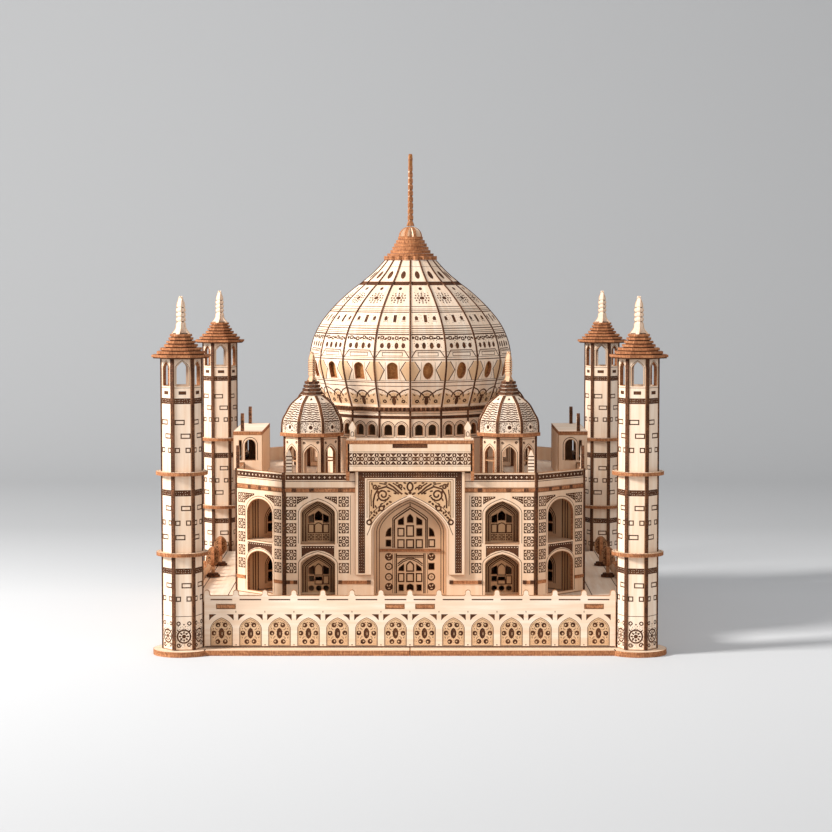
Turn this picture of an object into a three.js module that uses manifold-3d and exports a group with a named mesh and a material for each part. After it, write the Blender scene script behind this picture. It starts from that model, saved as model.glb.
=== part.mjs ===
// A press-fit plywood model of a domed mausoleum with four corner towers, cut from flat sheet.
// Millimetres, +Z up. The origin is the centre of the underside of the base, and the front faces -Y.
import * as THREE from "three";
import { mergeVertices } from "three/addons/utils/BufferGeometryUtils.js";
import Module from "manifold-3d";

const wasm = await Module();
wasm.setup();

// ---------------------------------------------------------------- driving dimensions

const PLY = 2; // sheet for walls, decks, roofs and tiers
const BASE_PLY = 3; // thicker sheet for the base
const GAP = 0.3; // clearance left wherever two pieces meet

const BASE_HALF = 138; // straight edges of the base
const TOWER_AT = 128; // tower axes, in X and in Y
const LOBE_RADIUS = 16.7; // round lobe of the base under each tower

const PLINTH_FACE = 128; // outer face of the low wall round the terrace
const RAIL_TOP = 32.8;
const POST_TOP = 36;
const POST_WIDTH = 3.2;
const BAYS = 14;
const BAY_PITCH = 16.35;
const DECK_TOP = 27.4;
const TAB_WIDTH = 10.1;
const TAB_CENTRES = [-103.7, -8.5, 8.5, 103.7]; // deck tabs along each wall

const HALL_FACE = 102; // outer faces of the four long walls of the hall
const HALL_CORNER = 72.5; // where a long wall meets the short 45-degree wall
const ROOF_TOP = 90.7;
const PARAPET_TOP = 99.6;
const FLOOR_TOP = 58.6; // upper floor of the galleries
const UPPER_SPRING = 76.2; // upper openings of the long walls
const UPPER_CROWN = 83.2;
const LOWER_SPRING = 47; // lower openings, in every wall of the hall
const LOWER_CROWN = 52.7;
const SCREEN_FACE = 92; // recessed wall behind each long wall
const WING_CENTRE = 52.9; // arches on both sides of each portal
const WING_HALF = 9.7;
const NICHE_ARCH_HALF = 11;
const NICHE_HALF = 15.5;
const NICHE_DEPTH = 30;
const NICHE_WINDOW_AT = 23; // depth of the side windows' centre line
const TREE_AT = 121;
const TREE_SPREAD = 27; // half the distance between the trees of one side
const TREE_MIDDLE = 15;
const LEDGE_TOP = 54.6; // ledge under the upper window behind each portal

const FRAME_HALF = 31.4; // portal frame
const FRAME_FOOT = 41;
const FRAME_ARCH_HALF = 22;
const FRAME_CROWN = 85.6;
const PORTAL_SPRING = 65.5;
const BOX_HALF = 36.6; // portal box above the roof
const BOX_BACK = 88.9;
const PANEL_FOOT = 100.9; // raised panel over the frame
const RETURN_FOOT = 95.5; // tails of the box's sides in front of the parapet
const BOX_TOP = 118.7;
const PINNACLE_AT = 33;
const PINNACLE_TIP = 129.4;

const DRUM_RADIUS = 53.6;
const DRUM_TOP = 131.8;
const GORES = 18; // flat strips round the drum and the main dome

const KIOSK_AT = 58; // roof kiosk axes, in X and in Y
const KIOSK_HALF = 16.1;
const KIOSK_TOP = 117.9;
const EAVE_HALF = 18.5;
const KIOSK_TIERS = [6.3, 5.5, 4.9, 4.3]; // half-widths, bottom to top
const KIOSK_TIER_FOOT = 141.6;
const KIOSK_TIER_PITCH = 2.08;
const KIOSK_TIP = 167.4;

const SHAFT_RADIUS = 11.7; // hexagonal tower shaft, from its axis to its corners
const SHAFT_HALF = SHAFT_RADIUS * Math.cos(Math.PI / 6); // from its axis to its flats
const SHAFT_TOP = 166.3;
const TOE_IN = Math.PI / 20; // the front flat of each shaft turns this much towards the middle
const BALCONY_RADIUS = 14.65;
const BALCONY_FLOORS = [55.9, 101.2]; // undersides
const TOWER_EAVE = 166.6;
const TOWER_TIERS = [15.9, 13.1, 11.3, 9.1, 7.9, 6.7, 6.0]; // half-widths, bottom to top
const TOWER_TIER_PITCH = 1.9;
const TOWER_TIP = 201.1;

const COLLAR_FOOT = 221.4;
const COLLAR_TIERS = [12.3, 11.1, 10, 8.8, 7.6]; // radii, bottom to top
const COLLAR_PITCH = 2.04;
const SPIRE_FOOT = 242.2;
const SPIRE_TIP = 286.1;

// ---------------------------------------------------------------- materials

const WOOD = new THREE.MeshStandardMaterial({ color: 0xe6cda8, roughness: 0.72, metalness: 0 });
const WALNUT_EDGE = new THREE.MeshStandardMaterial({ color: 0xa8683c, roughness: 0.78, metalness: 0 });

// ---------------------------------------------------------------- closed bodies

const QUARTER = Math.PI / 2;
const OCTANT = Math.PI / 4;

function signedVolume(geometry) {
  const p = geometry.attributes.position;
  const index = geometry.index;
  const [a, b, c] = [new THREE.Vector3(), new THREE.Vector3(), new THREE.Vector3()];
  let volume = 0;
  for (let i = 0; i < index.count; i += 3) {
    a.fromBufferAttribute(p, index.getX(i));
    b.fromBufferAttribute(p, index.getX(i + 1));
    c.fromBufferAttribute(p, index.getX(i + 2));
    volume += a.dot(b.cross(c)) / 6;
  }
  return volume;
}

// Weld shared vertices, drop the empty triangles that a lathe leaves on its axis, and face outward.
function closedBody(geometry) {
  geometry.deleteAttribute("normal");
  geometry.deleteAttribute("uv");
  const welded = mergeVertices(geometry, 1e-4);
  const kept = [];
  const index = welded.index.array;
  for (let i = 0; i < index.length; i += 3) {
    const [a, b, c] = [index[i], index[i + 1], index[i + 2]];
    if (a !== b && b !== c && c !== a) kept.push(a, b, c);
  }
  welded.setIndex(kept);
  if (signedVolume(welded) < 0) {
    kept.reverse();
    welded.setIndex(kept);
  }
  return welded;
}

function toManifold(geometry) {
  const body = closedBody(geometry);
  const mesh = new wasm.Mesh({
    numProp: 3,
    vertProperties: Float32Array.from(body.attributes.position.array),
    triVerts: Uint32Array.from(body.index.array),
  });
  return new wasm.Manifold(mesh);
}

function toGeometry(manifold) {
  const mesh = manifold.getMesh();
  const geometry = new THREE.BufferGeometry();
  geometry.setAttribute("position", new THREE.BufferAttribute(new Float32Array(mesh.vertProperties), 3));
  geometry.setIndex([...mesh.triVerts]);
  return geometry;
}

const join = (pieces) => pieces.map(toManifold).reduce((sum, piece) => sum.add(piece));
const cut = (solid, cutters) => cutters.map(toManifold).reduce((rest, cutter) => rest.subtract(cutter), solid);

// ---------------------------------------------------------------- sheet pieces

const point = (x, y) => new THREE.Vector2(x, y);

// A flat sheet lying down: its outline is in X and Y, and it is thickness high from the given level.
function lyingSheet(outline, level, thickness = PLY) {
  const shape = new THREE.Shape(outline);
  const geometry = new THREE.ExtrudeGeometry(shape, { depth: thickness, bevelEnabled: false });
  return geometry.translate(0, 0, level);
}

// A sheet standing up: its outline is in X and Z, and its front face is at Y = -face.
function standingSheet(outline, face, thickness = PLY) {
  const geometry = lyingSheet(outline, 0, thickness);
  return geometry.rotateX(QUARTER).translate(0, thickness - face, 0);
}

// A sheet standing across the front, seen edge on: its outline is in Y and Z, and it is centred on X = at.
function crossSheet(outline, at, thickness = PLY) {
  const geometry = standingSheet(outline, thickness / 2, thickness);
  return geometry.rotateZ(QUARTER).translate(at, 0, 0);
}

// Cutters for openings through a lying, a standing and a cross sheet, 1 mm proud of it on both sides.
const lyingHole = (hole, level, thickness = PLY) => lyingSheet(hole, level - 1, thickness + 2);
const standingHole = (hole, face) => standingSheet(hole, face + 1, PLY + 2);
const crossHole = (hole, at) => crossSheet(hole, at, PLY + 2);

function rectangle(left, right, bottom, top) {
  return [point(left, bottom), point(right, bottom), point(right, top), point(left, top)];
}

function block(left, right, front, back, bottom, top) {
  return lyingSheet(rectangle(left, right, front, back), bottom, top - bottom);
}

// An arch with straight jambs. A sharpness of 0 is a round head, and a larger one is more pointed.
function arch(centre, half, sill, spring, crown, sharpness = 0.35, steps = 4) {
  const outline = [point(centre - half, sill), point(centre + half, sill)];
  const rise = crown - spring;
  const headAt = (side, angle) => {
    const height = (1 - sharpness) * Math.sin(angle) + sharpness * (1 - Math.cos(angle));
    return point(centre + side * half * Math.cos(angle), spring + rise * height);
  };
  for (let i = 0; i <= steps; i += 1) outline.push(headAt(1, (QUARTER * i) / steps));
  for (let i = steps - 1; i >= 0; i -= 1) outline.push(headAt(-1, (QUARTER * i) / steps));
  return outline;
}

// ---------------------------------------------------------------- turned and polygonal pieces

// A profile of [radius, height] pairs turned about Z with flat sides. The radius is to the corners.
function turned(profile, sides, firstCorner = 0) {
  const points = profile.map(([radius, height]) => point(radius, height));
  return new THREE.LatheGeometry(points, sides, firstCorner).rotateX(QUARTER);
}

const cornerRadius = (half, sides) => half / Math.cos(Math.PI / sides);

// An octagonal profile given by half-widths across the flats, with a flat facing the front.
function octagonal(profile) {
  const corners = profile.map(([half, height]) => [cornerRadius(half, 8), height]);
  return turned(corners, 8, Math.PI / 8);
}

function octagonTube(outer, inner, bottom, top) {
  return octagonal([[outer, bottom], [outer, top], [inner, top], [inner, bottom], [outer, bottom]]);
}

function roundOutline(radius, steps, start = 0) {
  const outline = [];
  for (let i = 0; i < steps; i += 1) {
    const angle = start + (2 * Math.PI * i) / steps;
    outline.push(point(radius * Math.cos(angle), radius * Math.sin(angle)));
  }
  return outline;
}

// Two copies of one flat silhouette crossed at right angles, as a slotted finial is.
function crossed(outline) {
  return [standingSheet(outline, PLY / 2), crossSheet(outline, 0)];
}

// A silhouette symmetric about X = 0, from a list of [half-width, height] pairs, bottom to top.
function symmetric(halfProfile) {
  const right = halfProfile.map(([half, height]) => point(half, height));
  const left = halfProfile.filter(([half]) => half > 0).map(([half, height]) => point(-half, height));
  return [...right, ...left.reverse()];
}

// ---------------------------------------------------------------- scene graph

const SIDES = [["front", 0], ["right", QUARTER], ["back", 2 * QUARTER], ["left", 3 * QUARTER]];
const CORNERS = [["front_right", 1, -1], ["back_right", 1, 1], ["back_left", -1, 1], ["front_left", -1, -1]];

const model = new THREE.Group();

function addTo(parent, name, solid, material = WOOD) {
  const geometry = solid instanceof THREE.BufferGeometry ? closedBody(solid) : toGeometry(solid);
  const mesh = new THREE.Mesh(geometry, material);
  mesh.name = name;
  parent.add(mesh);
}

function turnedGroup(angle, x = 0, y = 0) {
  const group = new THREE.Group();
  group.rotation.z = angle;
  group.position.set(x, y, 0);
  model.add(group);
  return group;
}

// ---------------------------------------------------------------- base and terrace

// Half of the base sheet, with a round lobe at each of its two outer corners.
function baseHalf() {
  const reach = Math.acos((TOWER_AT - BASE_HALF) / LOBE_RADIUS);
  const lobe = (centreY, from, to) => {
    const steps = 14;
    return Array.from({ length: steps + 1 }, (_, i) => {
      const angle = from + ((to - from) * i) / steps;
      return point(TOWER_AT + LOBE_RADIUS * Math.cos(angle), centreY + LOBE_RADIUS * Math.sin(angle));
    });
  };
  const outline = [
    point(GAP / 2, -BASE_HALF),
    ...lobe(-TOWER_AT, -QUARTER - (Math.PI - reach), Math.PI - reach),
    ...lobe(TOWER_AT, reach - Math.PI, QUARTER + Math.PI - reach),
    point(GAP / 2, BASE_HALF),
  ];
  return lyingSheet(outline, 0, BASE_PLY);
}

// The top edge of a terrace wall: a level rail with a round-headed post between every two bays.
function postedTopEdge() {
  const edge = [];
  const half = POST_WIDTH / 2;
  for (let i = BAYS; i >= 0; i -= 1) {
    const centre = (i - BAYS / 2) * BAY_PITCH;
    edge.push(point(centre + half, RAIL_TOP));
    for (let step = 0; step <= 3; step += 1) {
      const angle = (Math.PI * step) / 3;
      edge.push(point(centre + half * Math.cos(angle), POST_TOP - half + half * Math.sin(angle)));
    }
    edge.push(point(centre - half, RAIL_TOP));
  }
  return edge;
}

// A wall stops short of the towers: at a corner of the shaft in front and behind, at a flat on the sides.
function terraceWall(shaftReach) {
  const end = TOWER_AT - shaftReach - 3 * GAP;
  const foot = BASE_PLY + GAP;
  const outline = [
    point(-end, foot),
    point(end, foot),
    point(end, RAIL_TOP),
    ...postedTopEdge(),
    point(-end, RAIL_TOP),
  ];
  const half = TAB_WIDTH / 2 + GAP;
  const slots = TAB_CENTRES.map((x) => rectangle(x - half, x + half, DECK_TOP - PLY - GAP, DECK_TOP + GAP));
  const wall = toManifold(standingSheet(outline, PLINTH_FACE));
  return cut(wall, slots.map((slot) => standingHole(slot, PLINTH_FACE)));
}

// The terrace deck: a square with a notch for each tower and tabs that pass through the walls.
function deck() {
  const edge = PLINTH_FACE - PLY - GAP;
  const notch = TOWER_AT - SHAFT_RADIUS - GAP;
  const tip = PLINTH_FACE - 0.1;
  const oneSide = [point(-notch, -edge)];
  for (const x of TAB_CENTRES) {
    oneSide.push(point(x - TAB_WIDTH / 2, -edge), point(x - TAB_WIDTH / 2, -tip));
    oneSide.push(point(x + TAB_WIDTH / 2, -tip), point(x + TAB_WIDTH / 2, -edge));
  }
  oneSide.push(point(notch, -edge), point(notch, -notch));
  const origin = point(0, 0);
  const outline = SIDES.flatMap(([, angle]) => oneSide.map((p) => p.clone().rotateAround(origin, angle)));
  return lyingSheet(outline, DECK_TOP - PLY);
}

// ---------------------------------------------------------------- hall

const HALL_FOOT = DECK_TOP + GAP;
const WALL_TOP = ROOF_TOP - PLY - GAP;

function hallWall() {
  const end = HALL_CORNER - 1.3;
  const portal = arch(0, FRAME_ARCH_HALF - 1.4, HALL_FOOT, PORTAL_SPRING, FRAME_CROWN - 1.4, 0.4, 6);
  const outline = [
    point(-end, HALL_FOOT),
    ...portal.slice(0, 1),
    ...portal.slice(2).reverse(),
    ...portal.slice(1, 2),
    point(end, HALL_FOOT),
    point(end, WALL_TOP),
    point(-end, WALL_TOP),
  ];
  const windows = [-WING_CENTRE, WING_CENTRE].flatMap((x) => [
    arch(x, WING_HALF, FLOOR_TOP, UPPER_SPRING, UPPER_CROWN),
    arch(x, WING_HALF, HALL_FOOT + 1.5, LOWER_SPRING, LOWER_CROWN),
  ]);
  const wall = toManifold(standingSheet(outline, HALL_FACE));
  return cut(wall, windows.map((window) => standingHole(window, HALL_FACE)));
}

// The recessed wall behind a long wall, with its windows, gallery floors and the portal's side walls.
function hallScreen() {
  const end = 67;
  const front = -HALL_FACE + PLY + GAP;
  const back = -SCREEN_FACE + PLY;
  const pieces = [standingSheet(rectangle(-end, end, HALL_FOOT, WALL_TOP), SCREEN_FACE)];
  for (const side of [-1, 1]) {
    const [inner, outer] = [side * 26, side * 66].sort((a, b) => a - b);
    pieces.push(block(inner, outer, front, back, FLOOR_TOP - PLY, FLOOR_TOP));
    const [left, right] = [side * 24, side * 26].sort((a, b) => a - b);
    pieces.push(block(left, right, front, back, HALL_FOOT, WALL_TOP));
  }
  pieces.push(block(-17.5, 17.5, -SCREEN_FACE - 1.2, back, LEDGE_TOP - PLY, LEDGE_TOP));
  return cut(join(pieces), screenWindows().map((window) => standingHole(window, SCREEN_FACE)));
}

// Windows cut through the recessed wall: a group of three heads in each bay and storey.
function screenWindows() {
  const windows = [];
  for (const foot of [44.5, 71]) {
    for (const x of [-WING_CENTRE, WING_CENTRE]) {
      for (const offset of [-4.7, 4.7]) {
        windows.push(rectangle(x + offset - 1.4, x + offset + 1.4, foot, foot + 4));
      }
    }
  }
  for (const x of [-5.2, 5.2]) windows.push(rectangle(x - 1.4, x + 1.4, 68.5, 72.5));
  return windows;
}

// A 45-degree corner wall with two stacked arches, and the niche with its upper floor behind it.
function cornerNiche() {
  const face = (HALL_FACE + HALL_CORNER) / Math.SQRT2;
  const end = (HALL_FACE - HALL_CORNER) / Math.SQRT2 - 0.6;
  const openings = [
    arch(0, NICHE_ARCH_HALF, FLOOR_TOP, UPPER_CROWN - 8.5, UPPER_CROWN, 0),
    arch(0, NICHE_ARCH_HALF, HALL_FOOT + 1.5, LOWER_CROWN - 7, LOWER_CROWN, 0),
  ];
  const front = standingSheet(rectangle(-end, end, HALL_FOOT, WALL_TOP), face);
  const backFace = face - NICHE_DEPTH + PLY;
  const back = standingSheet(rectangle(-NICHE_HALF, NICHE_HALF, HALL_FOOT, WALL_TOP), backFace);
  const sideOutline = rectangle(-face + PLY / 2, -face + NICHE_DEPTH - PLY / 2, HALL_FOOT, WALL_TOP);
  const middle = -face + NICHE_WINDOW_AT;
  const sideWindows = [arch(middle, 3.2, 61.5, 69.5, 73.5), arch(middle, 3.2, 32, 41.5, 45.5)];
  const sides = [-1, 1].map((side) => crossSheet(sideOutline, side * (NICHE_HALF - PLY / 2)));
  const floorBack = -face + NICHE_DEPTH - 0.5;
  const floor = block(-NICHE_HALF, NICHE_HALF, -face + PLY / 2, floorBack, FLOOR_TOP - PLY, FLOOR_TOP);
  const cutters = openings.map((opening) => standingHole(opening, face));
  for (const side of [-1, 1]) {
    cutters.push(...sideWindows.map((window) => crossHole(window, side * (NICHE_HALF - PLY / 2))));
  }
  return cut(join([front, back, ...sides, floor]), cutters);
}

function hallOutline(half) {
  const corner = HALL_CORNER - (HALL_FACE - half) * Math.tan(Math.PI / 8);
  const origin = point(0, 0);
  const oneSide = [point(-corner, -half), point(corner, -half)];
  return SIDES.flatMap(([, angle]) => oneSide.map((p) => p.clone().rotateAround(origin, angle)));
}

function roof() {
  return lyingSheet(hallOutline(HALL_FACE), ROOF_TOP - PLY);
}

function parapet() {
  const foot = ROOF_TOP + GAP;
  const height = PARAPET_TOP - foot;
  const whole = toManifold(lyingSheet(hallOutline(HALL_FACE), foot, height));
  return cut(whole, [lyingHole(hallOutline(HALL_FACE - PLY), foot, height)]);
}

// ---------------------------------------------------------------- portals

// The frame in front of a long wall, and the open box that rises behind it from the roof.
function portal() {
  const frameFace = HALL_FACE + GAP + PLY;
  const boxFace = frameFace + PLY;
  const opening = arch(0, FRAME_ARCH_HALF, FRAME_FOOT, PORTAL_SPRING, FRAME_CROWN, 0.4, 6);
  const frameOutline = [
    point(-FRAME_HALF, FRAME_FOOT),
    ...opening.slice(0, 1),
    ...opening.slice(2).reverse(),
    ...opening.slice(1, 2),
    point(FRAME_HALF, FRAME_FOOT),
    point(FRAME_HALF, BOX_TOP - 1),
    point(-FRAME_HALF, BOX_TOP - 1),
  ];
  const overParapet = PARAPET_TOP + GAP;
  const pieces = [
    standingSheet(frameOutline, frameFace),
    block(-BOX_HALF + 1, BOX_HALF - 1, -boxFace, -frameFace + 0.2, PANEL_FOOT, BOX_TOP),
    block(-BOX_HALF, BOX_HALF, -boxFace, -BOX_BACK, BOX_TOP - PLY, BOX_TOP),
    block(-BOX_HALF, BOX_HALF, -BOX_BACK - PLY, -BOX_BACK, ROOF_TOP + GAP, BOX_TOP),
  ];
  const returnOutline = [
    point(-boxFace, RETURN_FOOT),
    point(-HALL_FACE - GAP, RETURN_FOOT),
    point(-HALL_FACE - GAP, overParapet),
    point(-HALL_FACE + PLY + GAP, overParapet),
    point(-HALL_FACE + PLY + GAP, ROOF_TOP + GAP),
    point(-BOX_BACK, ROOF_TOP + GAP),
    point(-BOX_BACK, BOX_TOP),
    point(-boxFace, BOX_TOP),
  ];
  const sideArch = arch(-96.2, 3.2, overParapet + 1.5, BOX_TOP - 8.5, BOX_TOP - 4.9, 0);
  for (const side of [-1, 1]) {
    pieces.push(crossSheet(returnOutline, side * (BOX_HALF - PLY / 2)));
    const pinnacle = arch(side * PINNACLE_AT, 2, BOX_TOP - 1, PINNACLE_TIP - 3.5, PINNACLE_TIP, 0.5, 3);
    pieces.push(standingSheet(pinnacle, HALL_FACE));
  }
  const cutters = [-1, 1].map((side) => crossHole(sideArch, side * (BOX_HALF - PLY / 2)));
  return cut(join(pieces), cutters);
}

// ---------------------------------------------------------------- drum, dome and spire

function drum() {
  const foot = ROOF_TOP + GAP;
  const inner = DRUM_RADIUS - PLY;
  const ring = turned(
    [[DRUM_RADIUS, foot], [DRUM_RADIUS, DRUM_TOP], [inner, DRUM_TOP], [inner, foot], [DRUM_RADIUS, foot]],
    GORES,
  );
  const cutters = [];
  for (let i = 0; i < GORES / 2; i += 1) {
    for (const offset of [-4, 4]) {
      const window = arch(offset, 2.35, 117.4, 121.6, 123.9, 0.2, 2);
      const through = standingSheet(window, DRUM_RADIUS + 1, 2 * DRUM_RADIUS + 2);
      cutters.push(through.rotateZ(((i + 0.5) * 2 * Math.PI) / GORES));
    }
  }
  return cut(toManifold(ring), cutters);
}

const DOME_PROFILE = [
  [54.3, 134.1], [58.6, 145.4], [61.9, 157.2], [62.2, 162.4], [61, 169.8], [59, 176], [55.8, 182.3],
  [51.1, 188.6], [45.2, 195], [37, 202.4], [30.4, 207.4], [22.6, 213.9], [15.7, 221.2],
];

// The main dome: a shell of flat-sided gores on a ring, open below and at its crown.
function mainDome() {
  const inner = DOME_PROFILE.map(([radius, height]) => [radius - PLY, height]).reverse();
  const foot = DRUM_TOP + GAP;
  const ringTop = DOME_PROFILE[0][1];
  const profile = [
    [50, foot], [56.2, foot], [56.2, ringTop], ...DOME_PROFILE, ...inner, [50, ringTop], [50, foot],
  ];
  return turned(profile, GORES);
}

// The stepped collar that closes the crown: a notched disc, five smaller discs and a round cap.
function domeCollar() {
  let level = COLLAR_FOOT + 2 * PLY;
  const profile = [[0, COLLAR_FOOT], [16.2, COLLAR_FOOT], [16.2, level]];
  for (const radius of COLLAR_TIERS) {
    profile.push([radius, level], [radius, level + COLLAR_PITCH]);
    level += COLLAR_PITCH;
  }
  const capRadius = 7.3;
  const capHeight = SPIRE_FOOT - GAP - level;
  const capSteps = 3;
  for (let i = 0; i < capSteps; i += 1) {
    const angle = (QUARTER * i) / capSteps;
    profile.push([capRadius * Math.cos(angle), level + capHeight * Math.sin(angle)]);
  }
  profile.push([0, level + capHeight]);
  return turned(profile, GORES);
}

function spire() {
  const foot = SPIRE_FOOT;
  const half = [[2.4, foot], [1.6, foot + 3], [2, foot + 9.5], [1.2, foot + 20]];
  half.push([1, SPIRE_TIP - 1.5], [0, SPIRE_TIP]);
  return join(crossed(symmetric(half)));
}

// ---------------------------------------------------------------- roof kiosks

function kioskPavilion() {
  const tube = octagonTube(KIOSK_HALF, KIOSK_HALF - PLY, ROOF_TOP + GAP, KIOSK_TOP);
  const opening = arch(0, 3.7, ROOF_TOP + 3, KIOSK_TOP - 10, KIOSK_TOP - 5.5, 0.4, 3);
  const cutters = [0, 1, 2, 3].map((i) => {
    const through = standingSheet(opening, KIOSK_HALF + 3, 2 * KIOSK_HALF + 6);
    return through.rotateZ(OCTANT * i);
  });
  return cut(toManifold(tube), cutters);
}

// The kiosk's eave, ribbed dome, four tiers and finial, hollow from below.
function kioskDome() {
  const eave = KIOSK_TOP + GAP;
  const springing = eave + PLY;
  const shell = [[17.6, 0], [17.5, 4.4], [16.8, 8.1], [15.1, 11.2], [12.1, 16.5]];
  const shellPoints = [...shell.map(([half, rise]) => [half, springing + rise]), [6.4, KIOSK_TIER_FOOT]];
  const inside = [[0, 18.5], [9, 13.5], [13, 10.2], [14.6, 7.6], [15, 0]];
  const hollow = [...inside.map(([half, rise]) => [half, springing + rise]), [14.4, eave]];
  const profile = [...hollow, [EAVE_HALF, eave], [EAVE_HALF, springing], ...shellPoints];
  let level = KIOSK_TIER_FOOT;
  for (const half of KIOSK_TIERS) {
    profile.push([half, level], [half, level + KIOSK_TIER_PITCH]);
    level += KIOSK_TIER_PITCH;
  }
  profile.push([0, level]);
  const finial = symmetric([[4, level - 0.5], [1.1, level + 3.4], [1.8, level + 5], [1, level + 9], [0, KIOSK_TIP]]);
  return join([octagonal(profile), ...crossed(finial)]);
}

// ---------------------------------------------------------------- corner towers

function towerShaft() {
  const foot = BASE_PLY + GAP;
  const inner = SHAFT_RADIUS - PLY / Math.cos(Math.PI / 6);
  const outside = [[SHAFT_RADIUS, foot], [SHAFT_RADIUS, SHAFT_TOP]];
  const tube = turned([...outside, [inner, SHAFT_TOP], [inner, foot], outside[0]], 6, Math.PI / 6);
  const opening = arch(0, 3.2, SHAFT_TOP - 15, SHAFT_TOP - 5.3, SHAFT_TOP - 1.6, 0.5, 3);
  const cutters = [0, 1, 2].map((i) => {
    const through = standingSheet(opening, SHAFT_RADIUS + 2, 2 * SHAFT_RADIUS + 4);
    return through.rotateZ((Math.PI / 3) * i);
  });
  return cut(toManifold(tube), cutters);
}

function towerBalcony(level) {
  const disc = toManifold(lyingSheet(roundOutline(BALCONY_RADIUS, 24), level));
  return cut(disc, [lyingHole(roundOutline(SHAFT_RADIUS + GAP, 6), level)]);
}

// Seven stacked octagonal tiers under a crossed finial.
function towerRoof() {
  const profile = [[0, TOWER_EAVE]];
  let level = TOWER_EAVE;
  for (const half of TOWER_TIERS) {
    profile.push([half, level], [half, level + TOWER_TIER_PITCH]);
    level += TOWER_TIER_PITCH;
  }
  profile.push([0, level]);
  const finial = [[4.6, level - 0.5], [1.6, level + 7.5], [2.3, level + 9], [1.2, level + 13], [0, TOWER_TIP]];
  return join([octagonal(profile), ...crossed(symmetric(finial))]);
}

// ---------------------------------------------------------------- garden

// A small round-crowned tree on a disc, standing free on the terrace.
function tree() {
  const foot = DECK_TOP + GAP;
  const profile = [[0, foot], [4.2, foot], [4.2, foot + 2], [1, foot + 2], [1, foot + 5], [3.6, foot + 8]];
  profile.push([4.1, foot + 11], [2.8, foot + 15], [0, foot + 18.5]);
  return turned(profile, 12);
}

// ---------------------------------------------------------------- assembly

addTo(turnedGroup(0), "base_right", baseHalf());
addTo(turnedGroup(Math.PI), "base_left", baseHalf());
addTo(model, "terrace_deck", deck());
addTo(model, "hall_roof", roof());
addTo(model, "hall_parapet", parapet());

for (const [side, angle] of SIDES) {
  const group = turnedGroup(angle);
  const shaftReach = side === "front" || side === "back" ? SHAFT_RADIUS : SHAFT_HALF;
  addTo(group, `terrace_wall_${side}`, terraceWall(shaftReach));
  addTo(group, `hall_wall_${side}`, hallWall());
  addTo(group, `hall_screen_${side}`, hallScreen());
  addTo(group, `portal_${side}`, portal());
}

CORNERS.forEach(([corner, alongX, alongY], i) => {
  addTo(turnedGroup(OCTANT + QUARTER * i), `corner_niche_${corner}`, cornerNiche());

  const kiosk = turnedGroup(0, alongX * KIOSK_AT, alongY * KIOSK_AT);
  addTo(kiosk, `kiosk_pavilion_${corner}`, kioskPavilion());
  addTo(kiosk, `kiosk_dome_${corner}`, kioskDome());

  const shaft = turnedGroup(-alongX * TOE_IN, alongX * TOWER_AT, alongY * TOWER_AT);
  addTo(shaft, `tower_shaft_${corner}`, towerShaft());
  addTo(shaft, `tower_lower_balcony_${corner}`, towerBalcony(BALCONY_FLOORS[0]), WALNUT_EDGE);
  addTo(shaft, `tower_upper_balcony_${corner}`, towerBalcony(BALCONY_FLOORS[1]), WALNUT_EDGE);

  const tower = turnedGroup(0, alongX * TOWER_AT, alongY * TOWER_AT);
  addTo(tower, `tower_roof_${corner}`, towerRoof(), WALNUT_EDGE);

  const treeAt = turnedGroup(0, alongX * TREE_AT, TREE_MIDDLE + alongY * TREE_SPREAD);
  addTo(treeAt, `tree_${corner}`, tree());
});

addTo(model, "drum", drum());
addTo(model, "main_dome", mainDome());
addTo(model, "dome_collar", domeCollar(), WALNUT_EDGE);
addTo(model, "spire", spire(), WALNUT_EDGE);

export default model;
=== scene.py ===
"""A laser-cut plywood model of a domed mausoleum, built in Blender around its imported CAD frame.

Every visible piece is a flat sheet cut by its outline: openings go right through, engraved marks are
real recesses, and the cut edges and marks have their own charred materials. Lengths are millimetres
until a piece is finished. A sheet is drawn in (u, v), and w runs from its face (0) into the wood.
"""
import math
import random

import bpy
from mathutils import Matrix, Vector
from mathutils.geometry import delaunay_2d_cdt


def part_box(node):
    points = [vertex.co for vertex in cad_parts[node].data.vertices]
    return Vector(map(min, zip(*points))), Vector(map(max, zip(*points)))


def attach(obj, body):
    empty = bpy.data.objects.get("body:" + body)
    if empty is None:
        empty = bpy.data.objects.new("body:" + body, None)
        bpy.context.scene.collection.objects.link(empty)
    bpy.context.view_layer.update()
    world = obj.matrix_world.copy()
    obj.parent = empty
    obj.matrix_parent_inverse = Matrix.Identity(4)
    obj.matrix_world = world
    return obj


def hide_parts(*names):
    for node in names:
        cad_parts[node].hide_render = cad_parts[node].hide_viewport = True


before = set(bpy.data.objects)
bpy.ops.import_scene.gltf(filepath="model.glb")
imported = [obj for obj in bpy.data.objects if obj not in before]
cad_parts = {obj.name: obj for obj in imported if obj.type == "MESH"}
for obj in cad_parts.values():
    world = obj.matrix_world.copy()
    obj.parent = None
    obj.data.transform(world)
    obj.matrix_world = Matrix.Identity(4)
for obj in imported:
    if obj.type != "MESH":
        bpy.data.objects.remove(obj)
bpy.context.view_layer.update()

MM = 0.001
TAU = 2 * math.pi
QUARTER = math.pi / 2

PLY = 2.0  # sheet thickness
ENGRAVING = 0.22  # depth of the engraved marks
LINE = 0.42  # width of a fine engraved line
BURN = 1.3  # every engraved line burns this much wider than it is drawn
RIB = 1.9  # thickness of the charred ribs
SCORCH = 0.28  # width of the browned border round each cut

SIDES = {"front": 0.0, "right": QUARTER, "back": 2 * QUARTER, "left": 3 * QUARTER}
CORNERS = {"front_right": (1, -1), "back_right": (1, 1), "back_left": (-1, 1), "front_left": (-1, -1)}


def box(node):
    """Lowest and highest corner of a CAD node, in millimetres."""
    low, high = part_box(node)
    return [c / MM for c in low], [c / MM for c in high]


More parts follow.
